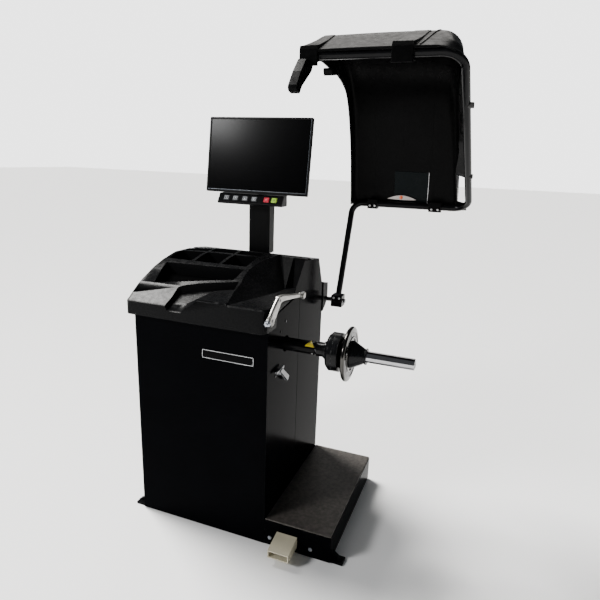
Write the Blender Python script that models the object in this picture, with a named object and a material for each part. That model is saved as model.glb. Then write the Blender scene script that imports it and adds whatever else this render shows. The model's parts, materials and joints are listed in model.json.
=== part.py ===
"""Wheel balancer: floor cabinet with a tyre platform, wheel spindle, weight trays,
distance gauge arm, swinging wheel guard, monitor with keys, and a brake pedal.
Sizes below are millimetres in the machine's own layout: X = 0 is the cabinet's
spindle-side wall, Y = 0 its front, Z = 0 the floor. p() turns them into metres
about the middle of the footprint."""
import math
import bpy
import bmesh
from mathutils import Matrix, Vector

# ---------------------------------------------------------------- driving sizes
W = 534.0            # cabinet width
D = 564.0            # cabinet depth
XP = 257.0           # platform's outer edge
ZP = 111.0           # platform top
SHEET = 2.5          # sheet metal
SY, SZ = 162.0, 741.0        # spindle axis
SHAFT_R = 20.0
FLANGE_R = 97.5
X_END = 467.0        # shaft end
HY, HZ = 597.0, 806.0        # guard hinge axis
MY, MZ = 430.0, 560.0        # motor axis
PY, PZ = 60.0, 45.0          # pedal axis
BY, BZ = 62.0, 768.0         # brake lever axis
GY, GZ = -17.0, 880.0        # gauge rod axis
TILT_Y, TILT_Z = 451.0, 1390.0
REST_LEAN = 8.0      # degrees the monitor leans back as it stands
COL_X, COL_Y = -245.0, 466.0
CX, CY = -138.5, 282.0       # middle of the footprint


def p(x, y, z):
    return Vector(((x - CX) / 1000.0, (y - CY) / 1000.0, z / 1000.0))


# ---------------------------------------------------------------- helpers
def clear_scene():
    for ob in list(bpy.data.objects):
        bpy.data.objects.remove(ob, do_unlink=True)


MATS = {}


def mat(name, rgb, rough, metal):
    if name not in MATS:
        m = bpy.data.materials.new(name)
        m.use_nodes = True
        b = m.node_tree.nodes["Principled BSDF"]
        b.inputs["Base Color"].default_value = (*rgb, 1.0)
        b.inputs["Roughness"].default_value = rough
        b.inputs["Metallic"].default_value = metal
        m.diffuse_color = (*rgb, 1.0)
        MATS[name] = m
    return MATS[name]


def make(name, verts, faces, material=None):
    me = bpy.data.meshes.new(name)
    me.from_pydata([tuple(v) for v in verts], [], faces)
    me.update()
    ob = bpy.data.objects.new(name, me)
    bpy.context.scene.collection.objects.link(ob)
    if material is not None:
        me.materials.append(material)
    bm = bmesh.new()
    bm.from_mesh(me)
    bmesh.ops.recalc_face_normals(bm, faces=bm.faces)
    bm.to_mesh(me)
    bm.free()
    return ob


def loft(name, loops, material=None):
    """Closed solid through loops of equal length, capped at both ends."""
    n = len(loops[0])
    verts = [v for lp in loops for v in lp]
    faces = [list(range(n))[::-1]]
    for k in range(len(loops) - 1):
        a, b = k * n, (k + 1) * n
        for i in range(n):
            j = (i + 1) % n
            faces.append([a + i, a + j, b + j, b + i])
    last = (len(loops) - 1) * n
    faces.append([last + i for i in range(n)])
    return make(name, verts, faces, material)


def box(name, x0, x1, y0, y1, z0, z1, material=None):
    lo = [p(x0, y0, z0), p(x1, y0, z0), p(x1, y1, z0), p(x0, y1, z0)]
    hi = [p(x0, y0, z1), p(x1, y0, z1), p(x1, y1, z1), p(x0, y1, z1)]
    return loft(name, [lo, hi], material)


def prism_x(name, yz, x0, x1, material=None):
    return loft(name, [[p(x0, y, z) for y, z in yz], [p(x1, y, z) for y, z in yz]], material)


def ring_x(name, outer, r_in, yc, zc, n, material=None, inner=None):
    """Body turned about an X axis. outer is (x, r) from back to front; r_in is the
    bore radius (0 makes it solid); inner may list the bore's own (x, r) steps."""
    def circle(x, r):
        return [p(x, yc + r * math.cos(2 * math.pi * k / n), zc + r * math.sin(2 * math.pi * k / n))
                for k in range(n)]
    if r_in <= 0:
        return loft(name, [circle(x, r) for x, r in outer], material)
    if inner is None:
        inner = [(outer[-1][0], r_in), (outer[0][0], r_in)]
    loops = [circle(x, r) for x, r in outer + inner]
    verts = [v for lp in loops for v in lp]
    m = len(loops)
    faces = []
    for k in range(m):
        a, b = k * n, ((k + 1) % m) * n
        for i in range(n):
            j = (i + 1) % n
            faces.append([a + i, a + j, b + j, b + i])
    return make(name, verts, faces, material)


def rod_z(name, xc, yc, z0, z1, r, n, material=None):
    def circle(z):
        return [p(xc + r * math.cos(2 * math.pi * k / n), yc + r * math.sin(2 * math.pi * k / n), z)
                for k in range(n)]
    return loft(name, [circle(z0), circle(z1)], material)


def rod_y(name, xc, zc, y0, y1, r, n, material=None, turn=0.0):
    def circle(y):
        return [p(xc + r * math.cos(turn + 2 * math.pi * k / n), y,
                  zc + r * math.sin(turn + 2 * math.pi * k / n)) for k in range(n)]
    return loft(name, [circle(y0), circle(y1)], material)


def carve(ob, cutter, op='DIFFERENCE'):
    m = ob.modifiers.new("op", 'BOOLEAN')
    m.operation = op
    m.solver = 'EXACT'
    m.object = cutter
    dg = bpy.context.evaluated_depsgraph_get()
    dg.update()
    me = bpy.data.meshes.new_from_object(ob.evaluated_get(dg))
    ob.modifiers.clear()
    old = ob.data
    ob.data = me
    bpy.data.meshes.remove(old)
    bpy.data.objects.remove(cutter, do_unlink=True)
    return ob


def bevel(ob, width, segments=1, angle=40.0):
    m = ob.modifiers.new("edge", 'BEVEL')
    m.width = width / 1000.0
    m.segments = segments
    m.limit_method = 'ANGLE'
    m.angle_limit = math.radians(angle)
    return ob


def fillet(path, radii, steps=4):
    """Round the inner corners of a polyline given as (x, y, z) tuples."""
    pts = [Vector(q) for q in path]
    out = [pts[0]]
    for i in range(1, len(pts) - 1):
        a, b, c = pts[i - 1], pts[i], pts[i + 1]
        u = (a - b).normalized()
        v = (c - b).normalized()
        ang = u.angle(v)
        t = min(radii[i - 1] / math.tan(ang / 2), (a - b).length * 0.49, (c - b).length * 0.49)
        s, e = b + u * t, b + v * t
        for k in range(steps + 1):
            w = k / steps
            out.append(s * (1 - w) ** 2 + b * 2 * w * (1 - w) + e * w ** 2)
    out.append(pts[-1])
    return out


def tube(name, path, r, n, material=None, bore=0.0):
    """Round bar along a path, or an open-ended pipe when bore is its inner radius."""
    pts = [Vector(q) for q in path]
    loops, inner = [], []
    side = Vector((0, 0, 1))
    for i, q in enumerate(pts):
        a = pts[max(i - 1, 0)]
        b = pts[min(i + 1, len(pts) - 1)]
        d = (b - a).normalized()
        side = side - d * side.dot(d)
        if side.length < 1e-4:
            side = Vector((0, 1, 0)) - d * d.y
        side.normalize()
        other = d.cross(side)
        turn = [side * math.cos(2 * math.pi * k / n) + other * math.sin(2 * math.pi * k / n)
                for k in range(n)]
        loops.append([p(*(q + e * r)) for e in turn])
        inner.append([p(*(q + e * bore)) for e in turn])
    if bore <= 0:
        return loft(name, loops, material)
    loops += inner[::-1]
    verts = [v for lp in loops for v in lp]
    faces = []
    for k in range(len(loops)):
        a, b = k * n, ((k + 1) % len(loops)) * n
        for i in range(n):
            j = (i + 1) % n
            faces.append([a + i, a + j, b + j, b + i])
    return make(name, verts, faces, material)


def pivot(ob, x, y, z):
    """Put the object's own origin on its joint axis."""
    o = p(x, y, z)
    for v in ob.data.vertices:
        v.co -= o
    ob.location = o
    return ob


# ---------------------------------------------------------------- materials
def materials():
    mat("gloss_black", (0.010, 0.011, 0.012), 0.16, 0.0)
    mat("satin_black", (0.016, 0.017, 0.018), 0.38, 0.0)
    mat("frame_black", (0.014, 0.014, 0.015), 0.30, 0.0)
    mat("grit_black", (0.030, 0.029, 0.027), 0.85, 0.0)
    mat("chrome", (0.74, 0.74, 0.74), 0.08, 1.0)
    mat("steel", (0.50, 0.50, 0.52), 0.35, 1.0)
    mat("zinc", (0.56, 0.60, 0.68), 0.30, 1.0)
    mat("cast_silver", (0.55, 0.55, 0.54), 0.42, 1.0)
    mat("oxide_black", (0.020, 0.021, 0.023), 0.32, 0.6)
    mat("ivory", (0.60, 0.56, 0.45), 0.45, 0.0)
    mat("rubber", (0.020, 0.020, 0.020), 0.80, 0.0)
    mat("grey_paint", (0.22, 0.23, 0.24), 0.50, 0.0)
    mat("cast_iron", (0.12, 0.12, 0.13), 0.60, 0.8)
    mat("board_green", (0.03, 0.16, 0.07), 0.55, 0.0)
    mat("screen_glass", (0.006, 0.007, 0.009), 0.06, 0.0)
    mat("key_grey", (0.33, 0.34, 0.35), 0.50, 0.0)
    mat("key_red", (0.62, 0.03, 0.07), 0.45, 0.0)
    mat("key_green", (0.38, 0.60, 0.06), 0.45, 0.0)


# ---------------------------------------------------------------- base and cabinet
def base_frame():
    ob = box("base_frame", -530, 253, 52, 512, 0, 24, MATS["frame_black"])
    carve(ob, box("c", -526, 249, 40, 508, 5, 40))
    return ob


def foot_rail(name, y0, x1):
    """Flat anchoring rail across the machine, its ends stiffened by gussets."""
    y1 = y0 + 40
    prof = [(-578, 0), (x1, 0), (x1, 10 if x1 > XP else 8)]
    if x1 > XP:
        prof += [(x1 - 10, 14), (XP + 2, 42), (XP + 0.8, 8)]
    prof += [(-W - 0.8, 8), (-W - 2, 42), (-568, 14), (-578, 10)]
    ob = loft(name, [[p(x, y0 + 16, z) for x, z in prof], [p(x, y0 + 24, z) for x, z in prof]],
              MATS["frame_black"])
    carve(ob, box("c", -578, x1, y0, y1, 0.0, 8.0), 'UNION')
    return ob


def front_wrap():
    """U-shaped sheet: the front and the front half of both sides."""
    prof = [(0, 3), (290, 3), (290, 898), (60, 872), (0, 872)]
    ob = prism_x("front_wrap", prof, -W, 0, MATS["gloss_black"])
    carve(ob, box("c", -W + SHEET, -SHEET, SHEET, 400, -20, 950))
    carve(ob, ring_x("c", [(-20, 30), (20, 30)], 0, SY, SZ, 28))
    carve(ob, ring_x("c", [(-20, 11), (20, 11)], 0, PY, PZ, 16))
    carve(ob, box("c", -W - 5, 5, 7, 49, -5, 9.2))
    carve(ob, box("c", -10, 5, 51, 300, -5, 25))
    return ob


def rear_wrap():
    """Rear sheet with the rear half of both sides, the raised ears and the deck."""
    prof = [(291.5, 3), (D, 3), (D, 860), (500, 999), (330, 1018), (238, 919), (238, 907), (291.5, 907)]
    ob = prism_x("rear_wrap", prof, -W, 0, MATS["gloss_black"])
    inner = [(200, -20), (D - SHEET, -20), (D - SHEET, 859.3), (498.3, 996.5), (405, 1007),
             (405, 1100), (200, 1100)]
    carve(ob, prism_x("c", inner, -W + SHEET, -SHEET))
    carve(ob, box("c", -W - 5, -500, 200, 405, 900, 1100))
    carve(ob, box("c", -W - 5, 5, 515, 557, -5, 9.2))
    carve(ob, box("c", -10, 5, 280, 513, -5, 25))
    carve(ob, box("c", -340, -300, D - 10, D + 10, 180, 188))
    for k in range(4):
        z0 = 200 + 20 * k
        carve(ob, box("c", -340, -200, D - 10, D + 10, z0, z0 + 7))
    return ob


TOP_LINE = [(-36, 880), (0, 896), (53, 933), (115, 963), (160, 978), (200, 991), (283, 1008),
            (326, 1013), (392, 1020), (440, 1020)]
LIP_Z = {'A': 887.0, 'N': 870.0, 'R': 921.0, 'B': 918.0}


def top(y, x=0.0):
    """Height of the tray cover's bowed top at depth y. Its rear left corner droops."""
    droop = 13.0 * min(1.0, max(0.0, (-400 - x) / 145)) * min(1.0, max(0.0, (y - 283) / 109))
    for (ya, za), (yb, zb) in zip(TOP_LINE, TOP_LINE[1:]):
        if y <= yb:
            return za + (zb - za) * (y - ya) / (yb - ya) - droop
    return TOP_LINE[-1][1] - droop


def riser_y(x):
    """Foot of the step that separates the hand rest from the trays."""
    if x <= -340:
        return 50 + max(0.0, x + 375) * 0.54
    return min(108.0, 69 + (x + 340) * 0.245)


def cover_profile(kind, x, y_front, d=0.0):
    """Closed outline in the (y, z) plane of the tray cover at one X station.
    d is the wall thickness: 0 gives the outside, more gives the hollow inside."""
    lip = LIP_Z[kind]
    yr = riser_y(x)
    low = {'A': top(yr), 'B': top(yr)}.get(kind, 908 + (x + 369) * 0.134)
    near = {'A': 903.0, 'B': 932.0}.get(kind, lip + (low - lip) * 0.4)
    line = [(y_front, lip - 6), (y_front + 7, lip), (8, near), (yr, low), (yr + 4, top(yr + 4))]
    line += [(y, top(y, x)) for y in (132, 160, 200, 240, 283, 326, 360, 392)] + [(404, top(400, x) - 5)]
    if d == 0:
        return [(y_front, 833)] + line + [(404, 935), (232, 905), (66, 884), (58, 833)]
    inner = [(y_front + d, 800), (y_front + d, lip - 6 - d * 0.6), (y_front + 7 + d * 0.4, lip - d),
             (8 + d, near - d), (yr + d, low - d), (yr + 4 + d, top(yr + 4) - d)]
    inner += [(y - d * (y > 390), z - d) for y, z in line[5:]]
    return inner[1:] + [(404 - d, 800), (232, 800), (66, 800), (59, 800), (y_front + d, 800)]


# x, outline, front y; the two stations marked with a slant follow the shoulder's left edge
COVER_STATIONS = [(-545, 'A', -20, 0), (-540, 'A', -31, 0), (-530, 'A', -36, 0), (-378, 'A', -36, 0),
                  (-368, 'N', -36, 0), (-315, 'N', -36, 0), (-251, 'R', -36, 0), (-137, 'R', -36, 1),
                  (-133, 'B', -36, 1), (-14, 'B', -36, 0), (-2, 'B', -31, 0), (5, 'B', -18, 0)]
INNER_STATIONS = [(-541, 'A', -18, 0), (-536, 'A', -29, 0), (-529, 'A', -36, 0), (-383, 'A', -36, 0),
                  (-373, 'N', -36, 0), (-313, 'N', -36, 0), (-249, 'R', -36, 0), (-132.5, 'R', -36, 1),
                  (-128.5, 'B', -36, 1), (-15, 'B', -36, 0), (-5, 'B', -31, 0), (1, 'B', -16, 0)]


def cover_body(name, stations, d):
    loops = []
    for x, kind, y_front, slant in stations:
        loops.append([p(x - slant * 33 * min(1.0, max(0.0, (y + 36) / 144)), y, z)
                      for y, z in cover_profile(kind, x - slant * 33, y_front, d)])
    return loft(name, loops, MATS["satin_black"])


def pocket(plan, depth, grow=0.0):
    """Tray pocket sunk below the bowed top; plan is a list of (x, y)."""
    cx = sum(q[0] for q in plan) / len(plan)
    cy = sum(q[1] for q in plan) / len(plan)
    lo, hi = [], []
    for x, y in plan:
        sx = 1 if x > cx else -1
        sy = 1 if y > cy else -1
        x1, y1 = x + sx * grow, y + sy * grow
        lo.append(p(x1 - sx * 4, y1 - sy * 4, top(y1 - sy * 4) - depth - grow))
        hi.append(p(x1 + sx * 2, y1 + sy * 2, 1120.0))
    return loft("c", [lo, hi])


TRAY_DEPTH = 44.0
LONG_TRAY = [(-488, 54), (-188, 118), (-184, 197), (-520, 186)]
CELL_X = [(-535, -424), (-416, -304), (-296, -188)]
CELL_Y = [(215, 325), (335, 385)]


def scoop(grow=0.0):
    """Hollow in the right shoulder, where the gauge arm is taken hold of."""
    g = grow
    lo = [(-152, -80), (-81, 124), (-58, 200), (-50, 262), (-30, 292), (30, 300), (30, -80)]
    hi = [(-355, -80), (-262, 188), (-152, 425), (-120, 392), (-60, 386), (30, 384), (30, -80)]
    lo = [(x - (g if x < 0 else 0), y + (g if y > 0 else 0)) for x, y in lo]
    hi = [(x - (g if x < 0 else 0), y + (g if y > 0 else 0)) for x, y in hi]
    return loft("c", [[p(x, y, 916 - g) for x, y in lo], [p(x, y, 1045) for x, y in hi]])


def cover():
    """Moulded tray cover: hollow shell, open below."""
    ob = cover_body("cover", COVER_STATIONS, 0)
    core = cover_body("c_core", INNER_STATIONS, 4.0)
    carve(core, pocket(LONG_TRAY, TRAY_DEPTH, 3.5))
    cells = [[(x0, y0), (x1, y0), (x1, y1), (x0, y1)] for x0, x1 in CELL_X for y0, y1 in CELL_Y]
    for plan in cells:
        carve(core, pocket(plan, TRAY_DEPTH, 3.5))
    carve(core, scoop(4.0))
    carve(ob, core)
    carve(ob, pocket(LONG_TRAY, TRAY_DEPTH))
    for plan in cells:
        carve(ob, pocket(plan, TRAY_DEPTH))
    carve(ob, scoop())
    carve(ob, box("c", -4, 40, 232, 450, 780, 1100))
    carve(ob, ring_x("c", [(-12, 8.6), (20, 8.6)], 0, GY, GZ, 16))
    return ob


def platform_shell():
    ob = box("platform_shell", 0.6, XP, 0, 566, 4, 105, MATS["gloss_black"])
    carve(ob, box("c", -20, XP - SHEET, SHEET, 566 - SHEET, -20, 105 - SHEET))
    carve(ob, box("c", 74, 110, -20, 20, 16, 70))
    carve(ob, box("c", 200, XP + 10, 7, 49, -5, 9.2))
    return ob


def platform_mat():
    ob = box("platform_mat", 1.5, 256, 1.5, 564.5, 105.4, ZP, MATS["grit_black"])
    return bevel(ob, 2.0)


def platform_bolt(name, x, z):
    return rod_y(name, x, z, -6.0, -0.4, 8.0, 6, MATS["zinc"])


# ---------------------------------------------------------------- spindle train
def support_column():
    """Stiff column that carries the spindle, open at its back, with a brake lug."""
    ob = box("support_column", -290, -80, 92, 232, 5.4, 668, MATS["cast_iron"])
    carve(ob, box("c", -280, -90, 102, 260, 20, 655))
    carve(ob, box("c", -295, -285, 50, 104, 600, 782), 'UNION')
    return ob


def spindle_housing():
    return ring_x("spindle_housing", [(-290, 45), (-14, 45), (-10, 24), (118, 24)], 1, SY, SZ, 32,
                  MATS["satin_black"],
                  inner=[(118, 21.3), (92, 21.3), (92, 18.5), (-268, 18.5), (-268, 36.3), (-290, 36.3)])


def bearing(name, x0, x1, r0, r1):
    return ring_x(name, [(x0, r1), (x1, r1)], r0, SY, SZ, 32, MATS["steel"])


def sensor(name, x):
    return rod_z(name, x, SY, 668.5, 695.5, 17, 16, MATS["steel"])


def spindle_shaft():
    ob = ring_x("spindle_shaft", [(-334, 11), (-333, 12), (-292, 12), (-292, 16.5), (119, 16.5),
                                  (119, SHAFT_R), (X_END - 3, SHAFT_R), (X_END, 17), (X_END - 3, 11)],
                0, SY, SZ, 32, MATS["chrome"])
    return pivot(ob, 119, SY, SZ)


def hub_drum():
    ob = ring_x("hub_drum", [(121, 25), (123, 26.5), (148, 26.5), (149, 31), (166, 31), (166, 59),
                             (176, 69), (212, 69), (212.9, 68)], 20.3, SY, SZ, 36, MATS["oxide_black"])
    return pivot(ob, 190, SY, SZ)


def flange():
    r = FLANGE_R
    ob = ring_x("flange", [(213.5, 54), (226, 60), (229, 86), (231, 92), (235, 96), (239, r), (243, 96),
                           (247, 92), (249, 86), (249, 62), (245, 57)], 20.3, SY, SZ, 40, MATS["chrome"])
    return pivot(ob, 239, SY, SZ)


def cone():
    ob = ring_x("cone", [(246, 47), (250, 50), (291, 28), (295, 25.5), (297.5, 25.5), (297.5, 28.5),
                         (303, 28.5)], 20.4, SY, SZ, 32, MATS["oxide_black"])
    return pivot(ob, 270, SY, SZ)


def spindle_pulley():
    ob = ring_x("spindle_pulley", [(-322, 72), (-320, 72), (-319, 69), (-299, 69), (-298, 72),
                                   (-296, 72)], 12.3, SY, SZ, 32, MATS["steel"])
    return pivot(ob, -309, SY, SZ)


def encoder_disc():
    ob = ring_x("encoder_disc", [(-330, 44), (-327.5, 44)], 12.3, SY, SZ, 32, MATS["steel"])
    return pivot(ob, -329, SY, SZ)


def motor():
    ob = ring_x("motor", [(-280, 40), (-280, 54), (-276, 58), (-150, 58), (-140, 50), (-138, 40)], 0,
                MY, MZ, 24, MATS["grey_paint"])
    carve(ob, box("c", -268, -150, 232.5, 420, 604, 613), 'UNION')
    return ob


def motor_pulley():
    ob = ring_x("motor_pulley", [(-322, 25), (-319.5, 25), (-319.5, 22), (-298.5, 22), (-298.5, 25),
                                 (-296, 25), (-296, 9), (-281, 9)], 0, MY, MZ, 24, MATS["steel"])
    return pivot(ob, -309, MY, MZ)


def belt():
    """Flat ribbed belt round both pulleys."""
    d = math.hypot(MY - SY, MZ - SZ)
    base = math.atan2(MZ - SZ, MY - SY)

    def outline(ra, rb):
        off = math.acos((ra - rb) / d)
        pts = []
        for k in range(19):
            a = base + off + (2 * math.pi - 2 * off) * k / 18
            pts.append((SY + ra * math.cos(a), SZ + ra * math.sin(a)))
        for k in range(9):
            a = base - off + 2 * off * k / 8
            pts.append((MY + rb * math.cos(a), MZ + rb * math.sin(a)))
        return pts
    ob = prism_x("belt", outline(73.6, 26.6), -318, -300, MATS["rubber"])
    return carve(ob, prism_x("c", outline(69.6, 22.6), -340, -280))


def power_board():
    ob = box("power_board", -522, -518, 140, 410, 280, 580, MATS["board_green"])
    for y0, y1, z0, z1, h in ((165, 255, 310, 380, 52), (290, 380, 320, 360, 30), (200, 350, 430, 540, 24)):
        carve(ob, box("c", -520, -518 + h, y0, y1, z0, z1), 'UNION')
    return ob


# ---------------------------------------------------------------- brake and pedal
def brake_lever():
    prof = [(24, 762), (24, 774), (56, 779), (70, 777), (81, 752), (81, 731), (73, 731), (60, 757),
            (52, 762)]
    ob = prism_x("brake_lever", prof, -314, -304, MATS["steel"])
    carve(ob, ring_x("c", [(-318, 5), (-296, 5)], 0, BY, BZ, 14), 'UNION')
    return pivot(ob, -309, BY, BZ)


def brake_pad():
    ob = box("brake_pad", -318, -300, 81.4, 84.6, 731, 751, MATS["rubber"])
    return pivot(ob, -309, BY, BZ)


def brake_rod():
    ob = rod_z("brake_rod", -309, 30, 52.6, 760.2, 4, 12, MATS["steel"])
    return pivot(ob, -309, 30, 400)


def pedal_lever():
    """Cross shaft with the pedal arm and the crank that pulls the brake rod."""
    ob = ring_x("pedal_lever", [(-316, 8), (126, 8)], 0, PY, PZ, 16, MATS["steel"])
    carve(ob, box("c", 80, 104, -72, 62, 38.5, 51.5), 'UNION')
    carve(ob, box("c", -314, -304, 24, 62, 39.5, 50.5), 'UNION')
    return pivot(ob, 92, PY, PZ)


def pedal_pad():
    ob = prism_x("pedal_pad", [(-88, 29), (-88, 59), (-2.5, 74), (-2.5, 29)], 52, 132, MATS["ivory"])
    carve(ob, prism_x("c", [(-100, 34), (-100, 52.4), (10, 71.6), (10, 34)], 57, 127))
    return pivot(ob, 92, PY, PZ)


def pedal_bracket():
    ob = box("pedal_bracket", 62, 122, 50, 76, 5.4, 62, MATS["frame_black"])
    carve(ob, box("c", 70, 114, 40, 90, 11, 80))
    carve(ob, ring_x("c", [(50, 8.5), (135, 8.5)], 0, PY, PZ, 16))
    return ob


# ---------------------------------------------------------------- distance gauge
def gauge_guide():
    ob = box("gauge_guide", -70, -30, -30, -3, 858, 900, MATS["satin_black"])
    return carve(ob, ring_x("c", [(-90, 7.4), (-10, 7.4)], 0, GY, GZ, 16))


def gauge_rod():
    ob = ring_x("gauge_rod", [(-250, 7), (8, 7)], 0, GY, GZ, 16, MATS["chrome"])
    return pivot(ob, 8, GY, GZ)


ARM_LINE = [(-15, 867, 30), (-17, 894, 34), (-8, 920, 32), (14, 938, 28), (48, 943, 24), (94, 941, 20),
            (150, 932, 18), (208, 916, 15), (252, 903, 14)]


def gauge_arm():
    """Cast S-shaped arm lying along the machine's side."""
    left, right = [], []
    for i, (y, z, w) in enumerate(ARM_LINE):
        a = ARM_LINE[max(i - 1, 0)]
        b = ARM_LINE[min(i + 1, len(ARM_LINE) - 1)]
        d = math.hypot(b[0] - a[0], b[1] - a[1])
        ny, nz = -(b[1] - a[1]) / d, (b[0] - a[0]) / d
        left.append((y + ny * w / 2, z + nz * w / 2))
        right.append((y - ny * w / 2, z - nz * w / 2))
    ob = prism_x("gauge_arm", left + right[::-1], 8.6, 22, MATS["cast_silver"])
    bevel(ob, 2.5)
    return pivot(ob, 8, GY, GZ)


def gauge_tip():
    ob = ring_x("gauge_tip", [(22.4, 12), (23.5, 14), (30, 14), (31, 12)], 0, 258, 903, 16,
                MATS["cast_silver"])
    return pivot(ob, 8, GY, GZ)


def gauge_clamp():
    """Hexagon clamp screw at the front of the arm's hub."""
    ob = rod_y("gauge_clamp", 15, 876, -52, -37, 9.5, 6, MATS["zinc"])
    return pivot(ob, 8, GY, GZ)


def latch_handle():
    """T handle of the side wall's quarter-turn latch."""
    y, z = 100, 654
    ob = ring_x("latch_handle", [(0.5, 12), (6, 12), (9, 9)], 0, y, z, 14, MATS["zinc"])
    bar = [(54, 663), (118, 667), (118, 675), (54, 671)]
    carve(ob, prism_x("c", bar, 6.5, 14), 'UNION')
    stem = [(80, 666), (97, 671), (162, 618), (149, 604)]
    carve(ob, prism_x("c", stem, 5, 17), 'UNION')
    return pivot(ob, 8, y, z)


# ---------------------------------------------------------------- wheel guard
def hood_bracket():
    prof = [(D + 0.5, 757), (D + 0.5, 885), (624, 872), (624, 798), (596, 774)]
    ob = prism_x("hood_bracket", prof, -92, 4, MATS["frame_black"])
    return carve(ob, ring_x("c", [(-110, 10.5), (20, 10.5)], 0, HY, HZ, 20))


def hood_rod():
    """Hinge rod, with the hexagon end screw that holds the clamp on."""
    ob = ring_x("hood_rod", [(-96, 9), (-94, 10), (84.6, 10)], 0, HY, HZ, 20, MATS["chrome"])
    hexa = ring_x("c", [(84.4, 9), (94, 9)], 0, HY, HZ, 6)
    carve(ob, hexa, 'UNION')
    return pivot(ob, 40, HY, HZ)


def hood_clamp():
    ob = box("hood_clamp", 36, 84, 573, 621, 781, 831, MATS["satin_black"])
    carve(ob, ring_x("c", [(20, 10.4), (100, 10.4)], 0, HY, HZ, 20))
    carve(ob, box("c", 20, 100, 560, 590, 804.5, 807.5))
    bevel(ob, 2.0)
    return pivot(ob, 40, HY, HZ)


# stem from the hinge, then a flat frame: bottom bar, outboard leg, top bar
BAR_LOW, BAR_HIGH = (664.0, 1222.0), (40.0, 1679.0)
HOOD_PATH = [(62, 597, 835), (84, 664, 1218), (550, *BAR_LOW), (530, *BAR_HIGH), (96, *BAR_HIGH)]
HOOD_BENDS = [46, 60, 62]


def hood_tube():
    ob = tube("hood_tube", fillet(HOOD_PATH, HOOD_BENDS, 5), 13, 12, MATS["satin_black"], 11)
    return pivot(ob, 40, HY, HZ)


# outer line (y, z), inboard edge line (y, z) and outboard x of each station
HOOD = [((693, 1236), (636, 1236), 506), ((688, 1262), (631, 1262), 506), ((676, 1320), (617, 1320), 505),
        ((660, 1391), (601, 1391), 501), ((632, 1490), (568, 1490), 492), ((596, 1580), (528, 1574), 486),
        ((545, 1655), (484, 1628), 486), ((470, 1712), (425, 1656), 488), ((380, 1744), (352, 1674), 492),
        ((290, 1762), (286, 1680), 498), ((214, 1766), (226, 1686), 506), ((178, 1756), (190, 1688), 512),
        ((122, 1733), (130, 1682), 520), ((62, 1708), (66, 1672), 526), ((20, 1691), (22, 1664), 528)]


def frame_depth(yo, zo, uy, uz):
    """Distance from an outer point, along the wall's direction, to the flat frame's plane."""
    ty, tz = BAR_HIGH[0] - BAR_LOW[0], BAR_HIGH[1] - BAR_LOW[1]
    cross = uy * tz - uz * ty
    return ((BAR_LOW[0] - yo) * tz - (BAR_LOW[1] - zo) * ty) / cross


def hood_shell():
    """Moulded guard: one curved wall, a shallow inboard side and a deep, flared outboard side
    that ends along the frame's leg, with a hand slot near its foot."""
    x_in = 78.0
    t = 4.0
    outs, ins = [], []
    for k, ((yo, zo), (yi, zi), xo) in enumerate(HOOD):
        a = HOOD[max(k - 1, 0)][0]
        b = HOOD[min(k + 1, len(HOOD) - 1)][0]
        d = math.hypot(b[0] - a[0], b[1] - a[1])
        ny, nz = (b[1] - a[1]) / d, -(b[0] - a[0]) / d
        depth = math.hypot(yi - yo, zi - zo)
        uy, uz = (yi - yo) / depth, (zi - zo) / depth
        far = min(300.0, max(24.0, frame_depth(yo, zo, uy, uz) - 16))
        x_edge = max(xo - 2, min(516.0, xo + far * 0.16))

        def at(x, s, lift=0.0):
            return p(x, yo + uy * s + ny * lift, zo + uz * s + nz * lift)
        w = xo - x_in
        outs.append([at(x_in + 2, depth), at(x_in, depth * 0.55), at(x_in + 3, depth * 0.2),
                     at(x_in + 16, 0), at(x_in + w * 0.35, 0, 4), at(x_in + w * 0.68, 0, 4),
                     at(xo - 58, 0), at(xo - 24, 7), at(xo - 6, 22), at(x_edge, far)])
        ins.append([at(x_in + 2 + t, depth), at(x_in + t, depth * 0.55), at(x_in + 3 + t, depth * 0.2 + 2),
                    at(x_in + 17, t), at(x_in + w * 0.35, t, 4), at(x_in + w * 0.68, t, 4),
                    at(xo - 59, t), at(xo - 27, 10.5), at(xo - 10, 23.5), at(x_edge - t, far)])
    loops = [o + i[::-1] for o, i in zip(outs, ins)]
    ob = loft("hood_shell", loops, MATS["satin_black"])
    carve(ob, box("c", 490, 560, 588, 668, 1256, 1346))
    carve(ob, tube("c", fillet(HOOD_PATH, HOOD_BENDS, 5), 14.6, 12))
    return pivot(ob, 40, HY, HZ)


def hood_strap(name, x0, x1, y, z, rise=16.5):
    ob = box(name, x0, x1, y - 18, y + 18, z - 19, z + rise, MATS["satin_black"])
    carve(ob, ring_x("c", [(x0 - 20, 14.6), (x1 + 20, 14.6)], 0, y, z, 16))
    return pivot(ob, 40, HY, HZ)


def hood_grip():
    """Finger grip that hangs from a saddle round the top bar's inboard end."""
    prof = [(8, 1662), (54, 1662), (38, 1638), (8, 1619), (-30, 1590), (-46, 1566), (-80, 1575), (-34, 1622)]
    ob = prism_x("hood_grip", prof, 83, 103, MATS["satin_black"])
    bevel(ob, 3.0)
    y, z = BAR_HIGH
    carve(ob, box("c", 85.6, 126, y - 18, y + 18, z - 19, z + 5), 'UNION')
    carve(ob, ring_x("c", [(60, 14.6), (150, 14.6)], 0, y, z, 16))
    return pivot(ob, 40, HY, HZ)


# ---------------------------------------------------------------- monitor and keys
def monitor_column():
    ob = box("monitor_column", -291, -199, 440, 492, 1007, 1246, MATS["satin_black"])
    bevel(ob, 3.0)
    carve(ob, rod_z("c", COL_X, COL_Y, 1216, 1300, 16.5, 20))
    carve(ob, box("c", -288, -202, 443, 489, 990, 1200))
    return ob


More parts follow.
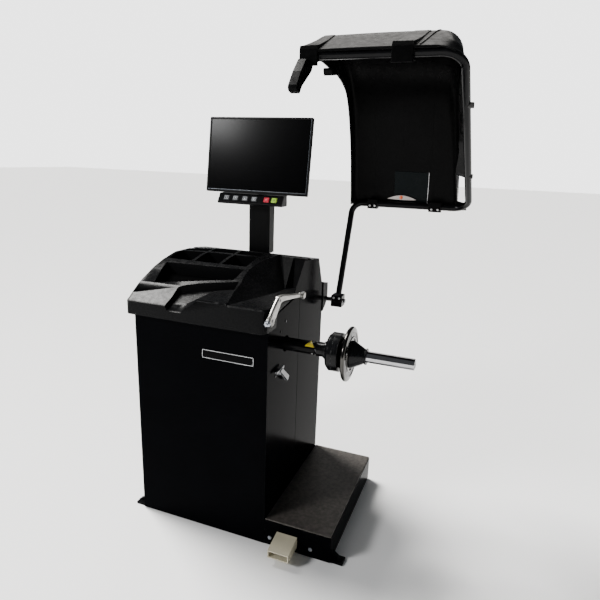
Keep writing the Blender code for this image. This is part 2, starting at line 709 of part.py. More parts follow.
def monitor_head():
    ob = rod_z("monitor_head", COL_X, COL_Y, 1216.5, 1345, 16, 20, MATS["satin_black"])
    head = box("c", -275, -215, 446, 487, 1338, 1420)
    carve(head, box("c2", -263.5, -226.5, 430, 463.5, 1364, 1430))
    carve(ob, head, 'UNION')
    return pivot(ob, COL_X, COL_Y, 1338)


MONITOR = (-457, -21, 1243, 1533)      # x and z extents before it leans back


def lean_back(ob):
    """Turn a monitor piece about the tilt axis into its leaning position."""
    axis = p(0, TILT_Y, TILT_Z)
    lean = Matrix.Rotation(math.radians(-REST_LEAN), 4, 'X')
    ob.data.transform(Matrix.Translation(axis) @ lean @ Matrix.Translation(-axis))
    return ob


def monitor_housing():
    x0, x1, z0, z1 = MONITOR
    front = [p(x0, 405, z0), p(x1, 405, z0), p(x1, 405, z1), p(x0, 405, z1)]
    mid = [p(x0, 419, z0), p(x1, 419, z0), p(x1, 419, z1), p(x0, 419, z1)]
    back = [p(x0 + 26, 436, z0 + 22), p(x1 - 26, 436, z0 + 22), p(x1 - 26, 436, z1 - 22),
            p(x0 + 26, 436, z1 - 22)]
    ob = loft("monitor_housing", [front, mid, back], MATS["satin_black"])
    carve(ob, box("c", x0 + 8, x1 - 8, 400, 411, z0 + 12, z1 - 8))
    knuckle = ring_x("c", [(-262, 11), (-228, 11)], 0, TILT_Y, TILT_Z, 16)
    carve(knuckle, box("c2", -262, -228, 430, TILT_Y, TILT_Z - 7, TILT_Z + 7), 'UNION')
    carve(ob, knuckle, 'UNION')
    return pivot(lean_back(ob), COL_X, TILT_Y, TILT_Z)


def screen():
    x0, x1, z0, z1 = MONITOR
    ob = box("screen", x0 + 8.4, x1 - 8.4, 407, 410.6, z0 + 12.4, z1 - 8.4, MATS["screen_glass"])
    return pivot(lean_back(ob), COL_X, TILT_Y, TILT_Z)


FT = Vector((0, 0.532, 0.847))       # up the panel's face
FN = Vector((0, -0.847, 0.532))      # out of the face
FC = Vector((0, 394.0, 1228.5))      # middle of the face
KEYS = [("key_1", -368, 24, "key_grey"), ("key_2", -328, 24, "key_grey"), ("key_3", -286, 24, "key_grey"),
        ("key_4", -246, 24, "key_grey"), ("key_stop", -193, 22, "key_red"),
        ("key_start", -160, 22, "key_green")]


def key_block(name, x, w, h, lo, hi, material=None):
    loops = []
    for s in (lo, hi):
        lp = []
        for dx, dt in ((-1, -1), (1, -1), (1, 1), (-1, 1)):
            q = FC + FT * (dt * h / 2) + FN * s
            lp.append(p(x + dx * w / 2, q.y, q.z))
        loops.append(lp)
    return loft(name, loops, material)


def panel_housing():
    prof = [(405, 1246), (383, 1211), (388, 1205), (439.5, 1205), (439.5, 1246)]
    ob = prism_x("panel_housing", prof, -405, -124, MATS["satin_black"])
    for name, x, w, m in KEYS:
        carve(ob, key_block("c", x, w + 1.2, 21.2, -5.2, 10))
    return ob


def keys():
    for name, x, w, m in KEYS:
        ob = key_block(name, x, w, 20, -3.2, 2.6, MATS[m])
        bevel(ob, 1.2)
        pivot(ob, x, FC.y, FC.z)


# ---------------------------------------------------------------- mains inlet
def inlet_module():
    ob = box("inlet_module", -470, -400, D + 0.5, 575, 280, 350, MATS["satin_black"])
    carve(ob, box("c", -462, -433, 567, 590, 293, 337))
    carve(ob, box("c", -427, -407, 566.5, 590, 298.5, 331.5))
    return ob


def power_switch():
    ob = box("power_switch", -426, -408, 569.4, 577, 300, 330, MATS["rubber"])
    return pivot(ob, -417, 573, 315)


def build():
    clear_scene()
    materials()
    base_frame()
    foot_rail("foot_rail_front", 8, 302)
    foot_rail("foot_rail_rear", 516, 252)
    front_wrap()
    rear_wrap()
    cover()
    platform_shell()
    platform_mat()
    platform_bolt("platform_bolt_a", 24, 39)
    platform_bolt("platform_bolt_b", 183, 40)
    support_column()
    spindle_housing()
    bearing("bearing_front", 92.4, 112, 16.8, 21)
    bearing("bearing_rear", -289, -268.4, 16.8, 36)
    sensor("sensor_a", -240)
    sensor("sensor_b", -110)
    spindle_shaft()
    hub_drum()
    flange()
    cone()
    spindle_pulley()
    encoder_disc()
    motor()
    motor_pulley()
    belt()
    power_board()
    brake_lever()
    brake_pad()
    brake_rod()
    pedal_lever()
    pedal_pad()
    pedal_bracket()
    gauge_guide()
    gauge_rod()
    gauge_arm()
    gauge_tip()
    gauge_clamp()
    latch_handle()
    hood_bracket()
    hood_rod()
    hood_clamp()
    hood_tube()
    hood_shell()
    hood_strap("hood_strap_a", 150, 190, 664, 1218.7)
    hood_strap("hood_strap_b", 398, 446, 664, 1221)
    hood_strap("hood_strap_c", 341, 401, *BAR_HIGH, 5)
    hood_grip()
    monitor_column()
    monitor_head()
    monitor_housing()
    screen()
    panel_housing()
    keys()
    inlet_module()
    power_switch()


build()
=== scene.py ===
"""Looks of the wheel balancer: refined meshes, materials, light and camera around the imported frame."""
import json
import math
import bpy
import bmesh
from mathutils import Matrix, Vector


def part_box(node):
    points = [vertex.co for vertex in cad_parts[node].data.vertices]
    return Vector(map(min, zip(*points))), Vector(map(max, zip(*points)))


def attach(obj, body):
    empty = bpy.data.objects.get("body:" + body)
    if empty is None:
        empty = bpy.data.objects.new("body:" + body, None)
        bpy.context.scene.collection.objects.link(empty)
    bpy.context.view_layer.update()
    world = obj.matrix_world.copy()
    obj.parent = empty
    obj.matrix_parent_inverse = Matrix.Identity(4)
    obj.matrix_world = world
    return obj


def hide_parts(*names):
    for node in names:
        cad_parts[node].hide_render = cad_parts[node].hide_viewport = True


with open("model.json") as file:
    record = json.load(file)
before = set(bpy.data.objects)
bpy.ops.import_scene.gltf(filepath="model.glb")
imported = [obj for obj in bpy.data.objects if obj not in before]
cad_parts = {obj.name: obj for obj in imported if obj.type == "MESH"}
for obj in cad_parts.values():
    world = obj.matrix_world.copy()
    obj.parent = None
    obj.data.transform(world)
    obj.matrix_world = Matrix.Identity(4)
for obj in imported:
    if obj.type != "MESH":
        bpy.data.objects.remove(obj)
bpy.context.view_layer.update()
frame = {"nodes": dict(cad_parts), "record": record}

# ---------------------------------------------------------------- places, in millimetres
# x = 0 is the cabinet's spindle-side wall, y = 0 its front sheet, z = 0 the floor.
MM = 0.001
WALL_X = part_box("front_wrap")[1].x
FRONT_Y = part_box("front_wrap")[0].y


def p(x, y, z):
    """A layout point, in millimetres, as a place in the frame, in metres."""
    return Vector((WALL_X + x * MM, FRONT_Y + y * MM, z * MM))


def mm_box(node):
    """Lowest and highest corner of a CAD node in layout millimetres."""
    lo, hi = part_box(node)
    origin = Vector((WALL_X, FRONT_Y, 0.0))
    return (lo - origin) / MM, (hi - origin) / MM


def middle(node):
    lo, hi = mm_box(node)
    return (lo + hi) / 2


DRUM = middle("hub_drum")
SPINDLE_Y, SPINDLE_Z = DRUM.y, DRUM.z
SPINDLE = (0, SPINDLE_Y, SPINDLE_Z)
SHAFT_END = mm_box("spindle_shaft")[1].x
SHAFT_R = 20.0
CABINET_W = -mm_box("front_wrap")[0].x
CABINET_D = mm_box("rear_wrap")[1].y
HINGE_Y, HINGE_Z = middle("hood_rod").y, middle("hood_rod").z

# ---------------------------------------------------------------- materials
class Look:
    """A material under construction: short calls that add and join shader nodes."""

    def __init__(self, name):
        self.m = bpy.data.materials.new(name)
        self.m.use_nodes = True
        self.t = self.m.node_tree
        self.b = self.t.nodes["Principled BSDF"]
        self.where = self.add("ShaderNodeTexCoord").outputs["Object"]

    def add(self, kind, **values):
        n = self.t.nodes.new(kind)
        for key, value in values.items():
            if key in n.inputs:
                n.inputs[key].default_value = value
            else:
                setattr(n, key, value)
        return n

    def join(self, a, b):
        self.t.links.new(a, b)

    def noise(self, scale, detail=2.0, stretch=None, rough=0.5):
        n = self.add("ShaderNodeTexNoise", Scale=scale, Detail=detail, Roughness=rough)
        src = self.where
        if stretch:
            mp = self.add("ShaderNodeMapping")
            mp.inputs["Scale"].default_value = stretch
            self.join(src, mp.inputs["Vector"])
            src = mp.outputs["Vector"]
        self.join(src, n.inputs["Vector"])
        return n.outputs["Fac"]

    def span(self, fac, lo, hi, at=(0.3, 0.7)):
        n = self.add("ShaderNodeMapRange")
        self.join(fac, n.inputs["Value"])
        n.inputs["From Min"].default_value, n.inputs["From Max"].default_value = at
        n.inputs["To Min"].default_value, n.inputs["To Max"].default_value = lo, hi
        return n.outputs["Result"]

    def blend(self, fac, a, b):
        n = self.add("ShaderNodeMix", data_type="RGBA")
        self.join(fac, n.inputs["Factor"])
        for idx, value in ((6, a), (7, b)):
            if isinstance(value, tuple):
                n.inputs[idx].default_value = (*value, 1.0)
            else:
                self.join(value, n.inputs[idx])
        return n.outputs[2]

    def edges(self, radius, reach=0.12):
        """1 along convex edges narrower than radius, 0 on open faces."""
        bev = self.add("ShaderNodeBevel", samples=4, Radius=radius)
        geo = self.add("ShaderNodeNewGeometry")
        dot = self.add("ShaderNodeVectorMath", operation="DOT_PRODUCT")
        self.join(bev.outputs["Normal"], dot.inputs[0])
        self.join(geo.outputs["Normal"], dot.inputs[1])
        return self.span(dot.outputs["Value"], 1.0, 0.0, (1.0 - reach, 1.0 - reach * 0.15))

    def bump(self, fac, strength, distance, onto=None):
        n = self.add("ShaderNodeBump", Strength=strength, Distance=distance)
        self.join(fac, n.inputs["Height"])
        if onto is not None:
            self.join(onto, n.inputs["Normal"])
        return n.outputs["Normal"]


def shade(c, k):
    return tuple(min(1.0, v * k) for v in c)


def surface(name, colour, rough, metal=0.0, ior=1.5, mottle=0.15, patch=9.0, rough_spread=0.06,
            grain=0.0, grain_size=1200.0, grain_depth=0.0002, wave=0.0, wave_size=40.0, wear_and_highlight=0.0,
            wear_and_highlight_colour=(0.25, 0.25, 0.25), stretch=None, cavity=0.0):
    """Mottled colour and roughness, a fine grain, a slow waviness, edges recoloured as wear and, on the
    black finishes, lightened as a painted highlight, and dull hollows.

    patch, grain_size and wave_size are noise scales; cavity is how near a wall dulls the gloss, in metres.
    """
    k = Look(name)
    b = k.b
    b.inputs["Metallic"].default_value = metal
    b.inputs["IOR"].default_value = ior
    broad = k.noise(patch, 4.0, stretch)
    col = k.blend(k.span(broad, 0.0, 1.0), shade(colour, 1 - mottle), shade(colour, 1 + mottle))
    fine = k.noise(patch * 7.0, 3.0, stretch)
    # edge mask broken up by noise takes the edge colour: real wear, and on the black finishes a lighter
    # painted highlight along the edges
    if wear_and_highlight > 0:
        rub_and_highlight = k.add("ShaderNodeMath", operation="MULTIPLY")
        k.join(k.edges(0.0016), rub_and_highlight.inputs[0])
        k.join(k.span(k.noise(70.0, 3.0), 0.0, wear_and_highlight, (0.45, 0.7)), rub_and_highlight.inputs[1])
        col = k.blend(rub_and_highlight.outputs[0], col, wear_and_highlight_colour)
    k.join(col, b.inputs["Base Color"])
    gloss = k.span(fine, rough - rough_spread, rough + rough_spread)
    if cavity > 0:
        open_sky = k.add("ShaderNodeAmbientOcclusion", samples=6, Distance=cavity).outputs["AO"]
        dulled = k.add("ShaderNodeMath", operation="ADD")
        k.join(gloss, dulled.inputs[0])
        k.join(k.span(open_sky, 0.6, 0.0, (0.62, 0.95)), dulled.inputs[1])
        gloss = dulled.outputs[0]
    k.join(gloss, b.inputs["Roughness"])
    normal = None
    if wave > 0:
        normal = k.bump(k.noise(wave_size, 1.0), wave, 0.001)
    if grain > 0:
        normal = k.bump(k.noise(grain_size, 2.0, stretch), grain, grain_depth, normal)
    if normal is not None:
        k.join(normal, b.inputs["Normal"])
    return k.m


BLACK = (0.0025, 0.0026, 0.0029)


def build_looks():
    """Materials by the slot they fill, then those that single pieces ask for."""
    s = {}
    # the light edge colours on the black finishes below are partly wear and partly a painted edge highlight
    s["cabinet_paint"] = surface("gloss_paint", (0.0010, 0.0011, 0.0015), 0.17, ior=1.045, wave=0.06,
                                 wave_size=260.0, rough_spread=0.04, wear_and_highlight=0.5,
                                 wear_and_highlight_colour=(0.10, 0.10, 0.11))
    s["frame_paint"] = surface("frame_paint", BLACK, 0.34, ior=1.07, grain=0.25, grain_size=900.0, wear_and_highlight=0.5)
    s["cover_plastic"] = surface("moulded_cover", (0.0018, 0.0019, 0.0022), 0.27, ior=1.13, cavity=0.20,
                                 grain=0.05, grain_size=1500.0, grain_depth=0.0001, wear_and_highlight=0.35,
                                 wear_and_highlight_colour=(0.09, 0.09, 0.09))
    s["guard_plastic"] = surface("moulded_guard", (0.0014, 0.0014, 0.0015), 0.31, ior=1.10, grain=0.06,
                                 grain_size=1300.0, grain_depth=0.0001, wear_and_highlight=0.3,
                                 wear_and_highlight_colour=(0.08, 0.08, 0.08))
    s["platform_grit"] = surface("anti_slip_mat", (0.050, 0.044, 0.039), 0.55, ior=1.4, mottle=0.40,
                                 patch=75.0, grain=1.0, grain_size=620.0, grain_depth=0.0006)
    s["zinc"] = surface("zinc_plate", (0.34, 0.36, 0.40), 0.30, 1.0, mottle=0.15, patch=60.0, grain=0.15)
    s["cast_iron"] = surface("cast_iron", (0.06, 0.06, 0.065), 0.6, 0.6, grain=0.7, grain_size=500.0)
    s["housing_paint"] = surface("housing_paint", BLACK, 0.22, ior=1.14, wave=0.1, wave_size=120.0, wear_and_highlight=0.4)
    s["steel"] = surface("machined_steel", (0.42, 0.42, 0.43), 0.32, 1.0, stretch=(14, 1, 1), grain=0.2)
    s["chrome"] = surface("hard_chrome", (0.36, 0.36, 0.37), 0.10, 1.0, mottle=0.05, stretch=(9, 1, 1),
                          rough_spread=0.03, grain=0.06)
    s["oxide_black"] = surface("black_oxide", (0.003, 0.0032, 0.0037), 0.19, ior=1.22, mottle=0.3,
                               patch=18.0, stretch=(12, 1, 1), grain=0.12, wear_and_highlight=0.8,
                               wear_and_highlight_colour=(0.3, 0.3, 0.3))
    s["motor_grey"] = surface("motor_paint", (0.16, 0.17, 0.18), 0.45, grain=0.2)
    s["rubber"] = surface("rubber", (0.014, 0.014, 0.014), 0.75, grain=0.4)
    s["board"] = surface("circuit_board", (0.02, 0.12, 0.05), 0.5, grain=0.3)
    s["pedal_ivory"] = surface("ivory_paint", (0.50, 0.46, 0.34), 0.40, grain=0.15, wave=0.05, wear_and_highlight=0.8,
                               wear_and_highlight_colour=(0.25, 0.22, 0.17))
    s["cast_silver"] = surface("cast_silver", (0.30, 0.295, 0.28), 0.32, 0.9, mottle=0.2, patch=40.0,
                               grain=0.5, grain_size=420.0, grain_depth=0.0003)
    s["tube_paint"] = surface("tube_paint", BLACK, 0.15, ior=1.18, wave=0.05, wave_size=200.0, wear_and_highlight=0.3)
    s["column_paint"] = surface("column_paint", BLACK, 0.36, ior=1.12, grain=0.3)
    s["monitor_plastic"] = surface("monitor_plastic", (0.0018, 0.0018, 0.002), 0.34, ior=1.15, grain=0.4,
                                   grain_size=2200.0)
    s["screen_glass"] = surface("screen_glass", (0.0006, 0.0006, 0.0008), 0.17, ior=1.15, mottle=0.05,
                                rough_spread=0.003)
    s["panel_plastic"] = surface("panel_plastic", (0.0030, 0.0030, 0.0034), 0.4, ior=1.2, grain=0.4,
                                 grain_size=2000.0)
    s["key_grey"] = surface("key_grey", (0.05, 0.052, 0.055), 0.45, grain=0.3)
    s["key_red"] = surface("key_red", (0.55, 0.02, 0.045), 0.4, grain=0.3)
    s["key_green"] = surface("key_green", (0.32, 0.55, 0.05), 0.4, grain=0.3)
    # painted shade: a far darker copy of the chrome, so the plated flange reads dark
    s["shaded_flange_chrome"] = surface("shaded_flange_chrome", (0.055, 0.053, 0.05), 0.13, 1.0, mottle=0.15, patch=40.0,
                                 rough_spread=0.04)
    s["latch_cast"] = surface("latch_cast", (0.22, 0.225, 0.235), 0.42, 0.5, mottle=0.2, patch=60.0,
                              grain=0.2)
    # painted shade: the near-black, matt look of the sheet on the tray floor
    s["tray_shade_liner"] = surface("tray_shade_liner", (0.0010, 0.0010, 0.0011), 0.8, ior=1.03, grain=0.1)
    s["bore_dark"] = surface("bore_dark", (0.012, 0.012, 0.013), 0.5, 0.3, stretch=(30, 1, 1))
    s["dark_face"] = surface("dark_face", (0.03, 0.03, 0.032), 0.25, 0.9, stretch=(1, 6, 6), grain=0.15)
    s["dark_steel"] = surface("dark_steel", (0.10, 0.10, 0.105), 0.35, 1.0, grain=0.2)
    s["plate_satin"] = surface("plate_satin", (0.0018, 0.0032, 0.0036), 0.30, ior=1.12, grain=0.1)
    s["plate_dark"] = surface("plate_dark", (0.0015, 0.0015, 0.0018), 0.3, ior=1.08, grain=0.2,
                              stretch=(1, 1, 20))
    s["plate_silver"] = surface("plate_silver", (0.45, 0.46, 0.47), 0.35, 1.0, grain=0.2)
    s["pale_trim"] = surface("pale_trim", (0.42, 0.38, 0.36), 0.4, grain=0.2)
    s["amber"] = surface("amber_lens", (0.65, 0.10, 0.02), 0.25, ior=1.5)
    # painted highlight: lighter bluish metal for the lit edges of the bezel
    s["bezel_highlight_line"] = surface("bezel_highlight_line", (0.09, 0.10, 0.115), 0.3, 0.8)
    s["mark_white"] = surface("mark_white", (0.62, 0.64, 0.66), 0.5)
    s["mark_pink"] = surface("mark_pink", (0.80, 0.35, 0.38), 0.5)
    s["mark_dark"] = surface("mark_dark", (0.12, 0.22, 0.03), 0.5)
    s["sticker_dark"] = surface("sticker_dark", (0.01, 0.01, 0.01), 0.4)
    s["sticker_yellow"] = surface("sticker_yellow", (0.80, 0.62, 0.02), 0.4, mottle=0.05)
    return s


LOOKS = build_looks()

# ---------------------------------------------------------------- mesh helpers, in layout millimetres
def smooth_rows(rows, steps):
    """Rows of numbers joined by a smooth curve, with some steps between each pair."""
    out = []
    for i in range(len(rows) - 1):
        a, b, c, d = (rows[max(0, min(len(rows) - 1, i + k))] for k in (-1, 0, 1, 2))
        for s in range(steps):
            t = s / steps
            out.append([0.5 * (2 * q + (r - o) * t + (2 * o - 5 * q + 4 * r - u) * t * t
                               + (3 * q - o - 3 * r + u) * t ** 3) for o, q, r, u in zip(a, b, c, d)])
    out.append(list(rows[-1]))
    return out


def rounded(points, radii, steps=6, closed=False):
    """A line whose corners are replaced by arcs; radii holds one value or one for each corner."""
    n = len(points)
    pts = [Vector(q) for q in points]
    corners = range(n) if closed else range(1, n - 1)
    if not isinstance(radii, (list, tuple)):
        radii = [radii] * len(corners)
    out = [] if closed else [pts[0]]
    for r, i in zip(radii, corners):
        a, b, c = pts[i - 1], pts[i], pts[(i + 1) % n]
        u, v = (a - b).normalized(), (c - b).normalized()
        half = u.angle(v) / 2
        t = min(r / math.tan(half), (a - b).length * 0.49, (c - b).length * 0.49) if half < 1.57 else 0.0
        if t < 1e-4:
            out.append(b)
            continue
        r = t * math.tan(half)
        centre = b + (u + v).normalized() * (r / math.sin(half))
        s, e = b + u * t - centre, b + v * t - centre
        sweep = s.angle(e)
        for k in range(steps + 1):
            w = k / steps
            out.append(centre + (s * math.sin((1 - w) * sweep) + e * math.sin(w * sweep)) / math.sin(sweep))
    return out if closed else out + [pts[-1]]


def circle(n, r=1.0):
    return [(r * math.cos(2 * math.pi * k / n), r * math.sin(2 * math.pi * k / n)) for k in range(n)]


class Shape:
    """Collects the closed bodies of one piece."""

    def __init__(self):
        self.verts, self.faces = [], []

    def rings(self, loops, caps=True, wrap=False):
        """Joins loops of equal length; wrap joins the last one to the first."""
        base, n = len(self.verts), len(loops[0])
        self.verts += [tuple(q) for lp in loops for q in lp]
        for k in range(len(loops) if wrap else len(loops) - 1):
            a, b = base + k * n, base + ((k + 1) % len(loops)) * n
            for i in range(n):
                j = (i + 1) % n
                self.faces.append([a + i, a + j, b + j, b + i])
        if caps and not wrap:
            self.faces.append([base + i for i in range(n)][::-1])
            self.faces.append([base + (len(loops) - 1) * n + i for i in range(n)])
        return self

    def turned(self, outline, origin=(0, 0, 0), axis=(1, 0, 0), n=72, ring=False):
        """Body turned about an axis through origin; outline lists (distance along it, radius)."""
        ax = Vector(axis).normalized()
        side = Vector((0, 0, 1)) if abs(ax.z) < 0.9 else Vector((0, 1, 0))
        u = side.cross(ax).normalized()
        v = ax.cross(u)
        loops = [[Vector(origin) + ax * s + (u * c + v * w) * r for c, w in circle(n)] for s, r in outline]
        return self.rings(loops, wrap=ring)

    def prism(self, outline, axis, lo, hi):
        """An outline in the plane across an axis ('x', 'y' or 'z'), carried from lo to hi."""
        def at(q, s):
            return {"x": (s, q[0], q[1]), "y": (q[0], s, q[1]), "z": (q[0], q[1], s)}[axis]
        return self.rings([[at(q, lo) for q in outline], [at(q, hi) for q in outline]])

    def block(self, x0, x1, y0, y1, z0, z1):
        return self.prism([(x0, y0), (x1, y0), (x1, y1), (x0, y1)], "z", z0, z1)

    def bar(self, path, section):
        """Sweeps a closed section, given as (across, up) points, along a path."""
        pts = [Vector(q) for q in path]
        side, loops = Vector((0, 0, 1)), []
        for i, q in enumerate(pts):
            d = (pts[min(i + 1, len(pts) - 1)] - pts[max(i - 1, 0)]).normalized()
            side = side - d * side.dot(d)
            if side.length < 1e-4:
                side = Vector((0, 1, 0)) - d * d.y
            side.normalize()
            other = d.cross(side)
            loops.append([q + other * a + side * b for a, b in section])
        return self.rings(loops)

    def hexagon(self, place, axis, across, thick):
        """Hexagon head with chamfered corners standing on place along axis."""
        ax = Vector(axis).normalized()
        side = Vector((0, 0, 1)) if abs(ax.z) < 0.9 else Vector((0, 1, 0))
        u = side.cross(ax).normalized()
        v = ax.cross(u)
        r = across / math.sqrt(3)
        loops = []
        for s, k in ((0.0, 1.0), (thick * 0.78, 1.0), (thick, 0.88)):
            centre = Vector(place) + ax * s
            loops.append([centre + (u * c + v * w) * (r * k) for c, w in circle(6)])
        return self.rings(loops)

    def screw(self, place, axis, r):
        """Socket-headed screw: a low domed head with a round recess."""
        h = r * 0.55
        self.turned([(0, r), (h * 0.5, r), (h * 0.85, r * 0.82), (h, r * 0.55), (h, r * 0.42),
                     (h * 0.35, r * 0.40)], place, axis, 24)
        return self

    def leaned(self):
        """Leans what was collected back about the monitor's tilt axis."""
        turn = Matrix.Rotation(math.radians(REST_LEAN), 3, "X")
        axis = Vector((0, TILT_Y, TILT_Z))
        self.verts = [tuple(axis + turn @ (Vector(v) - axis)) for v in self.verts]
        return self

    def piece(self, name, body, slot, look=None, stands_for=(), sharp=34.0, soft=0.0, segments=3):
        """Turns what was collected into a piece; soft is the width of its rounded edges."""
        me = bpy.data.meshes.new(name)
        me.from_pydata([p(*v) for v in self.verts], [], self.faces)
        bm = bmesh.new()
        bm.from_mesh(me)
        bmesh.ops.recalc_face_normals(bm, faces=bm.faces)
        bm.to_mesh(me)
        bm.free()
        me.shade_smooth()
        me.set_sharp_from_angle(angle=math.radians(sharp))
        me.materials.append(LOOKS[look or slot])
        ob = bpy.data.objects.new(name, me)
        bpy.context.scene.collection.objects.link(ob)
        if soft:
            edge = ob.modifiers.new("edge", "BEVEL")
            edge.width = soft * MM
            edge.segments = segments
            edge.limit_method = "ANGLE"
            edge.angle_limit = math.radians(sharp)
            ob.modifiers.new("shade", "WEIGHTED_NORMAL")
        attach(ob, body)
        if stands_for:
            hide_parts(*stands_for)
        return ob


# ---------------------------------------------------------------- CAD pieces that keep their shape
# width of the rounded edges, in millimetres, where it isn't the usual one
USUAL_EDGE = 0.8
SOFT_EDGE = {"front_wrap": 1.6, "rear_wrap": 1.2, "platform_shell": 1.2, "cover": 3.0, "panel_housing": 1.6,
             "monitor_column": 1.4, "monitor_head": 1.4, "pedal_pad": 1.4}

OWN_LOOK = {"latch_handle": "latch_cast"}


def soften_cad(name, ob):
    """Rounds the edges of a node that is shown as it is."""
    ob.data.shade_smooth()
    weld = ob.modifiers.new("weld", "WELD")
    weld.merge_threshold = 0.00002
    flat = ob.modifiers.new("flat", "DECIMATE")
    flat.decimate_type = "DISSOLVE"
    flat.angle_limit = math.radians(0.6)
    edge = ob.modifiers.new("edge", "BEVEL")
    edge.width = SOFT_EDGE.get(name, USUAL_EDGE) * MM
    edge.segments = 3
    edge.limit_method = "ANGLE"
    edge.angle_limit = math.radians(28)
    edge.use_clamp_overlap = True
    ob.modifiers.new("shade", "WEIGHTED_NORMAL").keep_sharp = True


for node_name, node in frame["nodes"].items():
    entry = next(e for e in frame["record"]["subparts"] if e["node"] == node_name)
    node.data.materials.clear()
    node.data.materials.append(LOOKS[OWN_LOOK.get(node_name, entry["material_slot"])])
    soften_cad(node_name, node)


# ---------------------------------------------------------------- spindle train
def spindle_tube():
    """Tube that carries the spindle, with its collar at the cabinet wall and a seal at the end."""
    outline = rounded([(-290, 36.5), (-290, 45), (-14, 45), (-10, 24), (118, 24), (118, 17.2)],
                      [3, 4, 6, 3], 5)
    inner = rounded([(118, 17.2), (112, 17.2), (112, 21.4), (-268, 21.4), (-268, 36.5), (-290, 36.5)],
                    0.5, 2)
    s = Shape()
    s.turned(outline + inner[1:-1], SPINDLE, n=96, ring=True)
    s.piece("spindle_tube", "cabinet", "housing_paint", stands_for=["spindle_housing"], sharp=28)
    screws = Shape()
    for k in range(3):
        a = math.radians(100 + 120 * k)
        c = Vector((0, math.cos(a), math.sin(a)))
        screws.screw(Vector((108, SPINDLE_Y, SPINDLE_Z)) + c * 23.6, c, 2.6)
    screws.piece("seal_screws", "cabinet", "steel")


def shaft():
    """Spindle shaft: plated nose with a rounded end and a wide countersunk bore."""
    e = SHAFT_END
    inner = [(119, 16.5), (-292, 16.5), (-292, 12), (-333, 12), (-334, 11)]
    nose = rounded([(119, SHAFT_R), (e, SHAFT_R), (e, 13.2), (e - 4, 11.4), (e - 34, 11.4), (e - 38, 2.0)],
                   [3.2, 1.2, 0.8, 2.0], 6)
    s = Shape().turned(inner[::-1] + nose, SPINDLE, n=96)
    s.piece("spindle_shaft_plated", "spindle", "chrome", stands_for=["spindle_shaft"], sharp=40)
    bore = Shape().turned([(e - 33, 11.3), (e - 4.2, 11.3), (e - 4.2, 10.9), (e - 33, 10.9)],
                          SPINDLE, n=64, ring=True)
    bore.piece("shaft_bore", "spindle", "oxide_black", look="bore_dark")


def drum():
    """Black hub with a stepped shoulder, a chamfered drum, a fine groove and its socket screws."""
    outline = [(121, 20.3), (121, 25), (123, 26.5), (148, 26.5), (149, 31), (166, 31), (166, 59), (176, 69),
               (188, 69), (189, 68.2), (190.5, 68.2), (191.5, 69), (210.5, 69), (212.7, 67.2), (212.7, 20.3)]
    soft = rounded(outline, [0.5, 1.5, 2, 2, 3, 2, 2, 4, 0.3, 0.3, 0.3, 0.3, 1.5], 4)
    s = Shape().turned(soft, SPINDLE, n=120, ring=True)
    s.piece("hub_body", "spindle", "oxide_black", stands_for=["hub_drum"], sharp=38)
    screws = Shape()
    for k in range(6):
        a = math.radians(60 * k + 12)
        screws.screw((165.8, SPINDLE_Y + 46 * math.cos(a), SPINDLE_Z + 46 * math.sin(a)), (-1, 0, 0), 5.0)
    screws.piece("hub_screws", "spindle", "steel")


def wheel_flange():
    """Plated flange: full round rim, dished dark face and a polished seat for the wheel."""
    turns = [math.pi * (k - 9) / 18 for k in range(19)]
    rim = [(239 + 7.6 * math.sin(t), 89.6 + 7.9 * math.cos(t)) for t in turns]
    back = [(213.5, 20.4), (213.5, 54), (226, 60), (228.5, 83)]
    front = [(248.4, 80), (245.6, 77), (245.6, 64), (248.8, 61), (248.8, 57), (245, 55), (245, 20.4)]
    s = Shape().turned(back + rim + front, SPINDLE, n=144, ring=True)
    # the flange's plating takes the darkened chrome copy: painted shade
    s.piece("flange_plated", "spindle", "chrome", look="shaded_flange_chrome", stands_for=["flange"], sharp=46)
    face = Shape()
    face.turned([(245.4, 63.4), (245.4, 77.4), (246.4, 77.0), (246.4, 63.8)], SPINDLE, n=144,
                ring=True)
    face.piece("flange_face", "spindle", "chrome", look="dark_face")
    pins = Shape()
    for k in range(6):
        a = math.radians(60 * k + 40)
        pins.screw((246.2, SPINDLE_Y + 70 * math.cos(a), SPINDLE_Z + 70 * math.sin(a)), (1, 0, 0), 3.6)
    pins.piece("flange_screws", "spindle", "steel")


def centring_cone():
    """Cone that centres a wheel, with a shallow collar at its nose."""
    outline = [(246, 20.4), (246, 47), (250, 50), (291, 28), (295, 25.5), (297.5, 25.5), (297.5, 28.5),
               (303, 28.5), (303, 20.4)]
    soft = rounded(outline, [1, 2.2, 3, 1, 0.6, 1.2, 1.2], 5)
    s = Shape().turned(soft, SPINDLE, n=120, ring=True)
    s.piece("centring_cone", "cone", "oxide_black", stands_for=["cone"], sharp=38)


# ---------------------------------------------------------------- guard
GUARD_IN = 78.0
WALL = 4.0
# stations from the bottom to the front lip: outer line (y, z), inboard edge line (y, z), outboard x
GUARD = [(694, 1213, 637, 1213, 506), (688, 1262, 631, 1262, 506), (676, 1320, 617, 1320, 505),
         (660, 1391, 601, 1391, 501), (632, 1490, 568, 1490, 492), (596, 1580, 528, 1574, 486),
         (545, 1655, 484, 1628, 486), (470, 1712, 425, 1656, 488), (380, 1744, 352, 1674, 492),
         (290, 1761, 286, 1680, 498), (214, 1765.5, 226, 1686, 506), (178, 1756, 190, 1688, 512),
         (122, 1733, 130, 1682, 520), (62, 1708, 66, 1672, 526), (20, 1691, 22, 1664, 528)]
